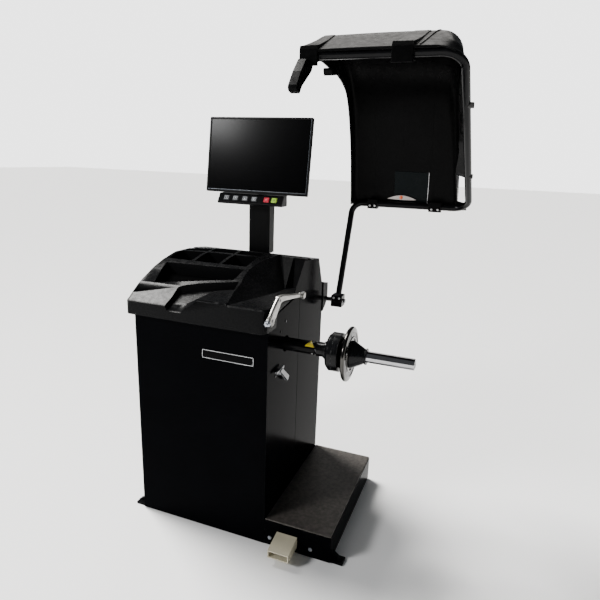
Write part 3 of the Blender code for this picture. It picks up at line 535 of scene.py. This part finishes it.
# the tube's flat frame: bottom bar and top bar (y, z)
BAR_LOW, BAR_HIGH = Vector((664, 1222)), Vector((40, 1679))
LEG_X = (550, 530)                  # the leg at the bottom bar and at the top bar
SLOT_LOW, SLOT_TOP = 1258, 1352     # heights between which the hand slot is open
CROWN = 2.9                         # how far the wall bows out across its width
TUBE_R = 12.6
SIDE_END = 560.6                    # nothing on the guard reaches further out than this
GUARD_STEPS = 6
GUARD_ROWS = smooth_rows(GUARD, GUARD_STEPS)


def guard_frame(k):
    """Outer point, unit vector to the front edge, outward normal, depth and outboard x at a row."""
    yo, zo, yi, zi, xo = GUARD_ROWS[k]
    a, b = GUARD_ROWS[max(k - 1, 0)], GUARD_ROWS[min(k + 1, len(GUARD_ROWS) - 1)]
    tangent = Vector((b[0] - a[0], b[1] - a[1])).normalized()
    inward = Vector((yi - yo, zi - zo))
    return Vector((yo, zo)), inward.normalized(), Vector((tangent.y, -tangent.x)), inward.length, xo


def bow(x, xo):
    """The guard's wall is slightly crowned across its width."""
    return CROWN * math.sin(math.pi * max(0.0, min(1.0, (x - GUARD_IN) / (xo - GUARD_IN))))


def on_guard(row, x, lift=0.0):
    """A point on the outer face at a row, lift millimetres proud of it."""
    o, _, n, _, xo = guard_frame(row)
    q = o + n * (bow(x, xo) + lift) + front_corner(row, x)
    return (x, q.x, q.y)


def wall_reach(row):
    """How far the outboard wall runs down to the tube's frame, and how far out its edge stands."""
    o, e, _, _, xo = guard_frame(row)
    run, gap = BAR_HIGH - BAR_LOW, BAR_LOW - o
    far = (gap.x * run.y - gap.y * run.x) / (e.x * run.y - e.y * run.x)
    far = min(300.0, max(24.0, far - 16.0))
    flare = max(0.0, min(1.0, (o.y - SLOT_TOP) / 150.0)) * 0.16
    return far, max(xo - 1.0, min(516.0, xo + far * flare))


def front_corner(row, x):
    """Shift that lets the front edge follow the bend of the tube at its outboard corner."""
    w = max(0.0, 1.0 - (len(GUARD_ROWS) - 1 - row) / (2.5 * GUARD_STEPS))
    past = min(66.0, max(0.0, x - 458.0))
    drop = 70.0 - math.sqrt(70.0 ** 2 - past ** 2)
    return (BAR_LOW - BAR_HIGH).normalized() * (drop * w * w * (3 - 2 * w))


def guard_section(row, t):
    """Cross-section at a row, t inside the outer face."""
    o, e, n, depth, xo = guard_frame(row)
    far, x_edge = wall_reach(row)
    swell = math.sin(math.pi * (row / (len(GUARD_ROWS) - 1)) ** 1.5)
    r_in, r_out = min(16.0, depth * 0.6) - t * 0.6, min(20.0 + 44.0 * swell, far * 0.8) - t * 0.6
    line = rounded([(GUARD_IN + 2 + t, depth), (GUARD_IN + 1 + t, t), (xo - 1 - t, t), (x_edge - t, far)],
                   [r_in, r_out], 8)
    pts = [line[0], (line[0] + line[1]) / 2] + line[1:10]
    face_a, face_b = line[9], line[10]
    pts += [face_a.lerp(face_b, i / 24) for i in range(1, 24)]
    pts += line[10:19] + [(line[18] + line[19]) / 2, line[19]]
    out = []
    for q in pts:
        s = q.y - t
        fade = 1.0 - min(1.0, s / 12.0)
        at = o + e * q.y + n * (bow(q.x, xo) * fade)
        if q.y < t + 12.0:
            at = at + (n * (-q.y) - e * q.y) * fade
        at = at + front_corner(row, q.x)
        out.append((q.x, at.x, at.y))
    return out


def guard_shell():
    """Moulded guard: one crowned wall with shallow sides, doubled to its wall thickness."""
    s = Shape()
    loops = [guard_section(k, 0.0) + guard_section(k, WALL)[::-1] for k in range(len(GUARD_ROWS))]
    n = len(loops[0])
    s.rings(loops, caps=False)
    last = (len(loops) - 1) * n
    for i in range(n // 2 - 1):
        s.faces.append([i, i + 1, n - 2 - i, n - 1 - i])
        s.faces.append([last + i, last + i + 1, last + n - 2 - i, last + n - 1 - i])
    s.piece("guard_moulding", "guard", "guard_plastic", stands_for=["hood_shell"], sharp=50)


def guard_ribs():
    """Moulded beads: two that frame the outboard bulge, and stiffeners down the back."""
    s = Shape()
    first, last = 9 * GUARD_STEPS, 14 * GUARD_STEPS - 2
    for x_ridge, x_lip, r in ((404, 404, 2.6), (452, 414, 3.2)):
        path = []
        for k in range(first, last + 1):
            w = (k - first) / (last - first)
            path.append(on_guard(k, x_ridge + (x_lip - x_ridge) * w ** 0.8, -0.6))
        s.bar(path, circle(10, r))
    for x in (170, 280, 390):
        s.bar([on_guard(k, x, -1.5) for k in range(3, 8 * GUARD_STEPS)], circle(10, 2.8))
    s.piece("guard_beads", "guard", "guard_plastic", sharp=60)


def guard_pad(name, x_low, x_high, face_top, face_bottom):
    """Raised pad that runs from the ridge over the lip and down in front of it."""
    rows = range(11 * GUARD_STEPS - 2, len(GUARD_ROWS))
    top = []
    for k in rows:
        w = (k - rows[0]) / (len(rows) - 1)
        rise = 2.6 + 16.0 * max(0.0, w - 0.35) ** 1.3
        top.append((w, rise, k))
    loops = []
    for w, rise, k in top:
        a = x_high[0] + (x_low[0] - x_high[0]) * w
        b = x_high[1] + (x_low[1] - x_high[1]) * w
        loops.append([on_guard(k, a, -1.0), on_guard(k, a + 2.5, rise), on_guard(k, b - 2.5, rise),
                      on_guard(k, b, -1.0)])
    y_face = GUARD[-1][0] - 0.5
    loops.append([(x_low[0], y_face, face_top - 12), (x_low[0] + 2.5, y_face, face_top),
                  (x_low[1] - 2.5, y_face, face_top), (x_low[1], y_face, face_top - 12)])
    s = Shape().rings(loops)
    s.prism([(x_low[0] + 1, y_face - 2.5), (x_low[1] - 1, y_face - 2.5), (x_low[1], y_face + 6),
             (x_low[0], y_face + 6)], "z", face_bottom, face_top - 0.5)
    s.piece(name, "guard", "guard_plastic", sharp=40, soft=1.6)


def guard_lip():
    """Rolled front edge of the moulding."""
    s = Shape()
    x0, x1 = GUARD_IN + 6, 462.0
    s.turned([(x0, 1.6), (x0 + 1, 2.6), (x1 - 1, 2.6), (x1, 1.6)], (0, 22.4, 1688.4), n=20)
    s.piece("guard_lip", "guard", "guard_plastic", sharp=40)


TUBE_PATH = rounded([(62, 597, 835), (84, 664, 1218), (LEG_X[0], *BAR_LOW), (LEG_X[1], *BAR_HIGH),
                     (96, *BAR_HIGH)], [46, 60, 62], 14)


def guard_tube():
    """Bent tube from the hinge clamp round the flat frame that carries the moulding, and its end cap."""
    s = Shape()
    s.bar(TUBE_PATH, circle(32, TUBE_R))
    s.piece("guard_tube", "guard", "tube_paint", stands_for=["hood_tube"], sharp=40, soft=1.2)
    ends = Shape()
    ends.turned([(0, 12.2), (2.0, 12.2), (3.4, 10.5)], (96.4, *BAR_HIGH), (-1, 0, 0), 32)
    ends.piece("guard_tube_cap", "guard", "rubber")


def guard_grip():
    """Finger grip that hangs from a saddle round the top bar's inboard end."""
    line = rounded([(-6, 1664), (54, 1664), (40, 1638), (8, 1616), (-34, 1588), (-52, 1566), (-87, 1574),
                    (-46, 1626)], [3, 8, 16, 24, 6, 5, 30, 14], 5, closed=True)
    s = Shape().prism(line, "x", 80, 106)
    s.turned([(85.6, 14.4), (85.6, 16.4), (126, 16.4), (126, 14.4)], (0, *BAR_HIGH), n=48, ring=True)
    s.piece("guard_grip", "guard", "guard_plastic", stands_for=["hood_grip"], soft=2.4)


def guard_web():
    """Webs that join the outboard wall's edge to the tube; the hand slot is left open between them."""
    groups = {"guard_web_low": [], "guard_web_high": []}
    run = BAR_HIGH - BAR_LOW
    for k in range(len(GUARD_ROWS)):
        o, e, n, _, _ = guard_frame(k)
        far, x_edge = wall_reach(k)
        edge = o + e * (far - 1.5)
        w = (edge - BAR_LOW).dot(run) / run.length_squared
        if w > 0.90 or SLOT_LOW < o.y < SLOT_TOP:
            continue
        foot = BAR_LOW + run * w
        x_leg = LEG_X[0] + (LEG_X[1] - LEG_X[0]) * w
        m = n * 1.6
        groups["guard_web_low" if o.y < SLOT_TOP else "guard_web_high"].append(
            [(x_edge - 3, edge.x - m.x, edge.y - m.y), (x_edge - 3, edge.x + m.x, edge.y + m.y),
             (x_leg - 9, foot.x + m.x, foot.y + m.y), (x_leg - 9, foot.x - m.x, foot.y - m.y)])
    for name, loops in groups.items():
        Shape().rings(loops).piece(name, "guard", "guard_plastic", sharp=50)


def guard_fittings():
    """Catch, clips on the outboard leg, clamp and strap screws, inner plate with its trim and lamp."""
    s = Shape()
    outline = rounded([(200, 1672), (318, 1684), (300, 1664), (262, 1658), (215, 1650)], 8, 4, closed=True)
    s.prism(outline, "x", GUARD_IN + 5, GUARD_IN + 34)
    s.piece("guard_catch", "guard", "guard_plastic", soft=1.5)
    clips = Shape()
    for w in (0.28, 0.74):
        q = BAR_LOW.lerp(BAR_HIGH, w)
        x = LEG_X[0] + (LEG_X[1] - LEG_X[0]) * w
        end = min(x + 22, SIDE_END)
        clips.prism([(x + 4, q.x - 13), (end, q.x - 13), (end, q.x + 13), (x + 4, q.x + 13)],
                    "z", q.y - 8, q.y + 8)
    clips.piece("guard_clips", "guard", "rubber", soft=2.0)
    screws = Shape()
    for x in (160, 180, 410, 434):
        screws.screw((x, 645.8, 1212), (0, -1, 0), 4.2)
        screws.screw((x, 682.2, 1212), (0, 1, 0), 4.2)
    for x in (48, 72):
        screws.screw((x, HINGE_Y - 24, HINGE_Z + 14), (0, -1, 0), 4.6)
    screws.piece("guard_screws", "guard", "steel")
    rows = range(1, GUARD_STEPS * 2 + 4)
    plate = Shape()
    corners = ((250, 0.4), (250, 2.4), (384, 2.4), (384, 0.4))
    plate.rings([[on_guard(row, x, -WALL - d) for x, d in corners] for row in rows])
    plate.piece("guard_plate", "guard", "guard_plastic", look="plate_satin", soft=0.6)
    rim = Shape()
    rim.bar([on_guard(row, 386, -WALL - 2.4) for row in rows], circle(10, 1.3))
    rim.piece("guard_plate_rim", "guard", "steel")
    trim = Shape()
    crescent = [(225 + 118 * i / 16, 1243 + 15 * math.sin(math.pi * i / 16)) for i in range(17)]
    crescent += [(343 - 118 * i / 16, 1242 - 2 * math.sin(math.pi * i / 16)) for i in range(1, 16)]
    trim.prism(crescent, "y", 676, 680.5)
    trim.piece("guard_handle_trim", "guard", "guard_plastic", look="pale_trim", soft=0.8)
    lamp = Shape().turned([(0, 7), (2, 7), (3, 5.5)], (281, 676, 1250), (0, -1, 0), 32)
    lamp.piece("guard_indicator", "guard", "key_red", look="amber")


# ---------------------------------------------------------------- distance gauge
def gauge_parts():
    """Cast arm: oval section along an S line, a boss at the rod, one at the elbow, and a pinned tip."""
    # centre line (y, z) and width of the arm from its boss to the tip
    line = smooth_rows([(-27, 867, 30), (-18, 878, 42), (8, 901, 40), (32, 922, 35), (50, 934, 29),
                        (72, 935, 24), (110, 929, 20), (165, 919, 17), (212, 911, 16), (250, 904, 16)], 8)
    s = Shape()
    loops = []
    for i, (y, z, w) in enumerate(line):
        a, b = line[max(i - 1, 0)], line[min(i + 1, len(line) - 1)]
        t = Vector((b[0] - a[0], b[1] - a[1])).normalized()
        n = Vector((-t.y, t.x))
        ring = []
        for k in range(28):
            ang = 2 * math.pi * k / 28
            c, q = math.cos(ang), math.sin(ang)
            a1 = math.copysign(abs(c) ** 0.62, c) * w / 2
            b1 = math.copysign(abs(q) ** 0.62, q) * 7.4
            ring.append((16.2 + b1, y + n.x * a1, z + n.y * a1))
        loops.append(ring)
    s.rings(loops)
    boss = rounded([(8.7, 0.4), (8.7, 19), (24.0, 19), (24.0, 12.5), (22.6, 12.0), (22.6, 0.4)],
                   [1.5, 2.5, 1, 1], 4)
    s.turned(boss, (0, -17, 880), n=56)
    s.turned(rounded([(9.5, 0.4), (9.5, 14.5), (23.6, 14.5), (23.6, 0.4)], [1.5, 3], 4), (0, 45, 934), n=48)
    s.turned(rounded([(9.5, 0.4), (9.5, 10.5), (26.2, 10.5), (26.2, 0.4)], [1.5, 2], 4), (0, 252, 903.5),
             n=40)
    s.piece("gauge_casting", "gauge_swing", "cast_silver", stands_for=["gauge_arm"], sharp=42)
    tip = Shape().turned(rounded([(22.4, 0.4), (22.4, 8), (24.2, 8), (24.2, 13), (31, 13), (31, 0.4)],
                                 [0.5, 0.5, 1.5, 2.4], 5), (0, 258, 903), n=48)
    tip.piece("gauge_button", "gauge_swing", "cast_silver", stands_for=["gauge_tip"], sharp=40)
    nut = Shape()
    nut.hexagon((15, -38.6, 876), (0, -1, 0), 16.4, 9.0)
    nut.turned([(0, 10.5), (1.4, 10.5), (1.6, 10.2)], (15, -37.0, 876), (0, -1, 0), 32)
    nut.turned([(0, 4.6), (4.4, 4.6), (5.2, 3.8)], (15, -47.2, 876), (0, -1, 0), 24)
    nut.piece("gauge_clamp_bolt", "gauge_swing", "zinc", stands_for=["gauge_clamp"])
    pins = Shape()
    pins.turned([(0, 4.2), (1.0, 4.2), (1.4, 3.6)], (23.6, 45, 934), (1, 0, 0), 24)
    pins.turned([(0, 6.0), (1.2, 6.0), (1.6, 5.4)], (22.6, -17, 880), (1, 0, 0), 28)
    pins.turned([(0, 3.0), (7.5, 3.0), (8.0, 2.4)], (13, 1, 902), (0, 0.6, -0.8), 18)
    pins.turned([(22.0, 13.4), (22.0, 14.8), (25.2, 14.8), (25.2, 13.4)], (0, 258, 903), n=40, ring=True)
    pins.piece("gauge_pins", "gauge_swing", "cast_silver", look="dark_steel")


# ---------------------------------------------------------------- monitor and keys
TILT_Y, TILT_Z = 451, 1390
REST_LEAN = -8.0
# corners before the monitor leans back about its tilt axis
CASE = ((-457, 405, 1243), (-21, 436, 1533))
SCREEN = ((-448.6, 407, 1255.4), (-29.4, 410.6, 1524.6))
# the key panel's face: its middle line, the way up it and the way out of it
PANEL_Y, PANEL_Z = 394.0, 1228.5
PANEL_UP = Vector((0, 0.532, 0.847))
PANEL_OUT = Vector((0, -0.847, 0.532))
KEY_RISE = 2.6


def rect(x0, x1, z0, z1, r, steps=5):
    """Rectangle with rounded corners."""
    return [tuple(q) for q in rounded([(x0, z0), (x1, z0), (x1, z1), (x0, z1)], r, steps, closed=True)]


def monitor_case():
    """Case with a slim bezel around a sunk screen, tapering back, and its hinge knuckle."""
    (x0, _, z0), (x1, _, z1) = CASE
    s = Shape()
    loops = []
    for y, grow, r in ((436, -26, 10), (433, -23, 10), (419, -1.5, 6), (416, 0, 5), (406.2, 0, 5),
                       (405.2, -1.0, 4.5)):
        g = grow * (22 / 26 if grow < -2 else 1)
        loops.append([(x, y, z) for x, z in rect(x0 - grow, x1 + grow, z0 - g, z1 + g, r)])
    for y, a, b in ((405.2, 7.0, 11.0), (406.2, 8.0, 12.0), (411.0, 8.0, 12.0)):
        loops.append([(x, y, z) for x, z in rect(x0 + a, x1 - a, z0 + b, z1 - a, 2.0)])
    s.rings(loops)
    s.prism([(435, 1383), (451, 1383), (451, 1397), (435, 1397)], "x", -262, -228)
    s.turned(rounded([(-262, 0.5), (-262, 11), (-228, 11), (-228, 0.5)], 1.0, 3), (0, TILT_Y, TILT_Z), n=40)
    s.leaned().piece("monitor_case", "monitor_tilt", "monitor_plastic", stands_for=["monitor_housing"],
                     sharp=32)
    vents = Shape()
    for k in range(15):
        for side in (-1, 1):
            x = (x0 + x1) / 2 + side * (60 + 8.0 * k)
            vents.block(x - 1.4, x + 1.4, 435.6, 437.4, 1470, 1502)
    vents.leaned().piece("monitor_vents", "monitor_tilt", "monitor_plastic", soft=0.5)
    glass = Shape()
    (a, b, c), (d, e, f) = SCREEN
    glass.rings([[(x, y, z) for x, z in rect(a + g, d - g, c + g, f - g, 1.6)]
                 for y, g in ((e, 0), (b + 0.5, 0), (b, 0.5))])
    glass.leaned().piece("screen_panel", "monitor_tilt", "screen_glass", stands_for=["screen"], sharp=30)
    # painted highlight: lighter metal lines along only the bottom and right edges of the screen opening,
    # where light catches the bezel's step
    trim = Shape()
    trim.block(x0 + 7, x1 - 7, 404.9, 405.4, z0 + 9.4, z0 + 10.9)
    trim.block(x1 - 7.6, x1 - 6.6, 404.9, 405.4, z0 + 9.4, z1 - 7)
    trim.leaned().piece("bezel_highlight_trim", "monitor_tilt", "monitor_plastic", look="bezel_highlight_line", soft=0.2)
    screws = Shape()
    for x in (-268, -222):
        for z in (1352, 1410):
            screws.screw((x, 436.0, z), (0, 1, 0), 3.4)
    screws.leaned().piece("monitor_screws", "monitor_tilt", "steel")


def key_marks():
    """A plain outlined square with a small mark on each grey key, and one mark on the other two."""
    marks = {"key_1": 0, "key_2": 1, "key_3": 2, "key_4": 3, "key_stop": 4, "key_start": 5}
    for name, kind in marks.items():
        top = Vector((middle(name).x, PANEL_Y, PANEL_Z)) + PANEL_OUT * KEY_RISE

        def at(dx, dt, s):
            q = top + PANEL_UP * dt + PANEL_OUT * s
            return (q.x + dx, q.y, q.z)

        def tile(s, x0, x1, t0, t1):
            s.rings([[at(x0, t0, h), at(x1, t0, h), at(x1, t1, h), at(x0, t1, h)] for h in (-0.1, 0.35)])
        s = Shape()
        if kind < 4:
            for x0, x1, t0, t1 in ((-8, 8, 5.6, 6.8), (-8, 8, -6.8, -5.6), (-8, -6.8, -5.6, 5.6),
                                   (6.8, 8, -5.6, 5.6)):
                tile(s, x0, x1, t0, t1)
            tile(s, -2.2, 2.2, -2.2, 2.2)
            if kind % 2:
                tile(s, -4.2, 4.2, 3.0, 4.0)
            if kind >= 2:
                tile(s, -4.2, 4.2, -4.0, -3.0)
        else:
            outer, inner = circle(8, 3.4), circle(8, 2.0)
            for k in range(8):
                j = (k + 1) % 8
                corners = (outer[k], outer[j], inner[j], inner[k])
                s.rings([[at(*q, h) for q in corners] for h in (-0.1, 0.35)])
        look = "mark_white" if kind < 4 else ("mark_pink" if kind == 4 else "mark_dark")
        s.piece(name + "_mark", name, "key_grey", look=look)


# ---------------------------------------------------------------- cabinet trim
def tray_shade_liner():
    """Near-black sheet on the floor of the long weight tray: painted shade where the deep tray's floor falls
    into shadow.
    """
    floor = [(-480, 60, 892.4), (-196, 124, 922.0), (-193, 190, 943.6), (-511, 179, 940.2)]
    s = Shape().rings([[(x, y, z + lift) for x, y, z in floor] for lift in (0.5, 2.5)])
    s.piece("tray_shade_liner", "cabinet", "rubber", look="tray_shade_liner", soft=0.8)


def cabinet_trim():
    """Blank plate with its border, sheet screws, bracket bolts, a blanking plug and the inlet's pins."""
    plate = Shape()
    plate.rings([[(x, y, z) for x, z in rect(-253 + g, -50 - g, 700.5 + g, 734.5 - g, 5)]
                 for y, g in ((0.2, 0), (-0.9, 0), (-1.3, 0.4))])
    plate.piece("nameplate", "cabinet", "cabinet_paint", look="plate_dark")
    border = Shape()
    outer = rect(-251.4, -51.6, 702.1, 732.9, 4)
    inner = rect(-250.0, -53.0, 703.5, 731.5, 3)
    section = ((-1.2, outer), (-1.6, outer), (-1.6, inner), (-1.2, inner))
    border.rings([[(x, y, z) for x, z in lp] for y, lp in section], wrap=True)
    border.piece("nameplate_border", "cabinet", "zinc", look="plate_silver")
    screws = Shape()
    for y, z, r in ((157, 828, 4.6), (72, 648, 4.4)):
        screws.screw((0.1, y, z), (1, 0, 0), r)
    for z in (90, 330, 600, 850):
        for x in (-CABINET_W + 14, -14):
            screws.screw((x, CABINET_D + 0.1, z), (0, 1, 0), 4.2)
    for z in (60, 360, 680):
        screws.screw((-CABINET_W - 0.1, 302, z), (-1, 0, 0), 4.0)
    screws.piece("cabinet_screws", "cabinet", "oxide_black", look="dark_steel")
    bolts = Shape()
    for x in (-78, -12):
        for z in (790, 856):
            bolts.hexagon((x, 624 - 0.2 if z > 800 else 607, z), (0, 1, 0), 13, 5.5)
    bolts.piece("bracket_bolts", "cabinet", "zinc")
    outline = rounded([(0.0, 0.4), (0.0, 5.2), (1.6, 5.2), (1.6, 3.2), (0.8, 3.0), (0.8, 0.4)], 0.6, 3)
    plug = Shape().turned(outline, (0.1, 113, 800), n=28)
    plug.piece("cabinet_plug", "cabinet", "rubber")
    pins = Shape()
    for x, z in ((-447.5, 321), (-456, 309), (-439, 309)):
        pins.block(x - 1.0, x + 1.0, 566.6, 573.5, z - 3.2, z + 3.2)
    pins.piece("inlet_pins", "cabinet", "steel", soft=0.4)


def caution_mark():
    """Plain yellow triangle, bordered dark, wrapped on the spindle tube."""
    def patch(name, half, low, high, r, look):
        s = Shape()
        loops, n = [], 14
        for k in range(n + 1):
            w = k / n
            a = math.radians(low + (high - low) * w)
            ring = []
            for rr, sign in ((r, 1), (r - 0.35, -1)):
                for u in (-1.0, -0.5, 0.0, 0.5, 1.0):
                    x = 98.0 + sign * u * max(0.15, half * (1 - w))
                    ring.append((x, SPINDLE_Y + rr * math.cos(a), SPINDLE_Z + rr * math.sin(a)))
            loops.append(ring)
        s.rings(loops)
        s.piece(name, "cabinet", "housing_paint", look=look, sharp=50)
    patch("caution_border", 20.0, 158.0, 82.0, 24.30, "sticker_dark")
    patch("caution_field", 16.8, 154.5, 87.0, 24.42, "sticker_yellow")


for build in (spindle_tube, shaft, drum, wheel_flange, centring_cone, guard_shell, guard_ribs, guard_lip,
              guard_grip, guard_tube, guard_web, guard_fittings, gauge_parts, monitor_case, key_marks,
              tray_shade_liner, cabinet_trim, caution_mark):
    build()
guard_pad("guard_pad_inboard", (73, 129), (88, 126), 1692, 1649)
guard_pad("guard_pad_middle", (339, 400), (366, 418), 1694, 1652)

# ---------------------------------------------------------------- stage, light, camera
BACKDROP = 3.2      # what the camera sees past the floor
FILL = 0.12         # faint even light from all round


def stage():
    """Pale floor and world; only the camera sees the bright backdrop."""
    me = bpy.data.meshes.new("floor")
    r = 30.0
    me.from_pydata([(-r, -r, 0), (r, -r, 0), (r, r, 0), (-r, r, 0)], [], [(0, 1, 2, 3)])
    floor = bpy.data.objects.new("floor", me)
    bpy.context.scene.collection.objects.link(floor)
    m = bpy.data.materials.new("floor_pale")
    m.use_nodes = True
    b = m.node_tree.nodes["Principled BSDF"]
    b.inputs["Base Color"].default_value = (0.94, 0.94, 0.94, 1.0)
    b.inputs["Roughness"].default_value = 0.9
    me.materials.append(m)
    floor.location.z = -0.0002
    w = bpy.data.worlds.new("studio")
    bpy.context.scene.world = w
    w.use_nodes = True
    t = w.node_tree
    seen = t.nodes["Background"]
    seen.inputs["Color"].default_value = (1.0, 1.0, 1.0, 1.0)
    seen.inputs["Strength"].default_value = BACKDROP
    fill = t.nodes.new("ShaderNodeBackground")
    fill.inputs["Color"].default_value = (0.92, 0.96, 1.0, 1.0)
    fill.inputs["Strength"].default_value = FILL
    mix = t.nodes.new("ShaderNodeMixShader")
    path = t.nodes.new("ShaderNodeLightPath")
    t.links.new(path.outputs["Is Camera Ray"], mix.inputs["Fac"])
    t.links.new(fill.outputs[0], mix.inputs[1])
    t.links.new(seen.outputs[0], mix.inputs[2])
    t.links.new(mix.outputs[0], t.nodes["World Output"].inputs["Surface"])


def sky_light(name, azimuth, elevation, strength, spread, colour):
    """A very large, distant softbox; azimuth 0 stands behind the machine and 90 on its spindle side."""
    light = bpy.data.lights.new(name, "SUN")
    light.energy = strength
    light.angle = math.radians(spread)
    light.color = colour
    ob = bpy.data.objects.new(name, light)
    bpy.context.scene.collection.objects.link(ob)
    a, e = math.radians(azimuth), math.radians(elevation)
    toward = Vector((math.sin(a) * math.cos(e), math.cos(a) * math.cos(e), math.sin(e)))
    ob.rotation_euler = toward.to_track_quat("Z", "Y").to_euler()


def softbox(name, place, target, size, power):
    """Rectangular card of light at place, facing target."""
    light = bpy.data.lights.new(name, "AREA")
    light.shape = "RECTANGLE"
    light.size, light.size_y = size
    light.energy = power
    ob = bpy.data.objects.new(name, light)
    bpy.context.scene.collection.objects.link(ob)
    ob.location = place
    ob.rotation_euler = (Vector(target) - Vector(place)).to_track_quat("-Z", "Y").to_euler()


EYE = (0.810022, -1.787323, 1.400139)
YAW, PITCH, ROLL = 0.3574929, 0.2682550, 0.0353558
LENS = 31.48186


def camera():
    """Camera at EYE, turned by YAW, PITCH and ROLL from looking along +Y."""
    cam = bpy.data.cameras.new("camera")
    cam.sensor_width, cam.lens = 36.0, LENS
    ob = bpy.data.objects.new("camera", cam)
    bpy.context.scene.collection.objects.link(ob)
    ahead = Vector((-math.sin(YAW) * math.cos(PITCH), math.cos(YAW) * math.cos(PITCH), -math.sin(PITCH)))
    right = Vector((math.cos(YAW), math.sin(YAW), 0.0))
    up = right.cross(ahead)
    rolled_right = right * math.cos(ROLL) + up * math.sin(ROLL)
    rolled_up = up * math.cos(ROLL) - right * math.sin(ROLL)
    turn = Matrix((rolled_right, rolled_up, -ahead)).transposed()
    ob.matrix_world = Matrix.Translation(EYE) @ turn.to_4x4()
    bpy.context.scene.camera = ob


stage()
sky_light("overhead", -72, 54, 8.5, 22, (1.0, 0.985, 0.96))
sky_light("behind", -14, 36, 0.35, 26, (1.0, 0.97, 0.93))
softbox("screen_card", (-2.98, -3.7, 3.25), (-0.1, 0.1, 1.4), (1.1, 0.85), 210)
camera()
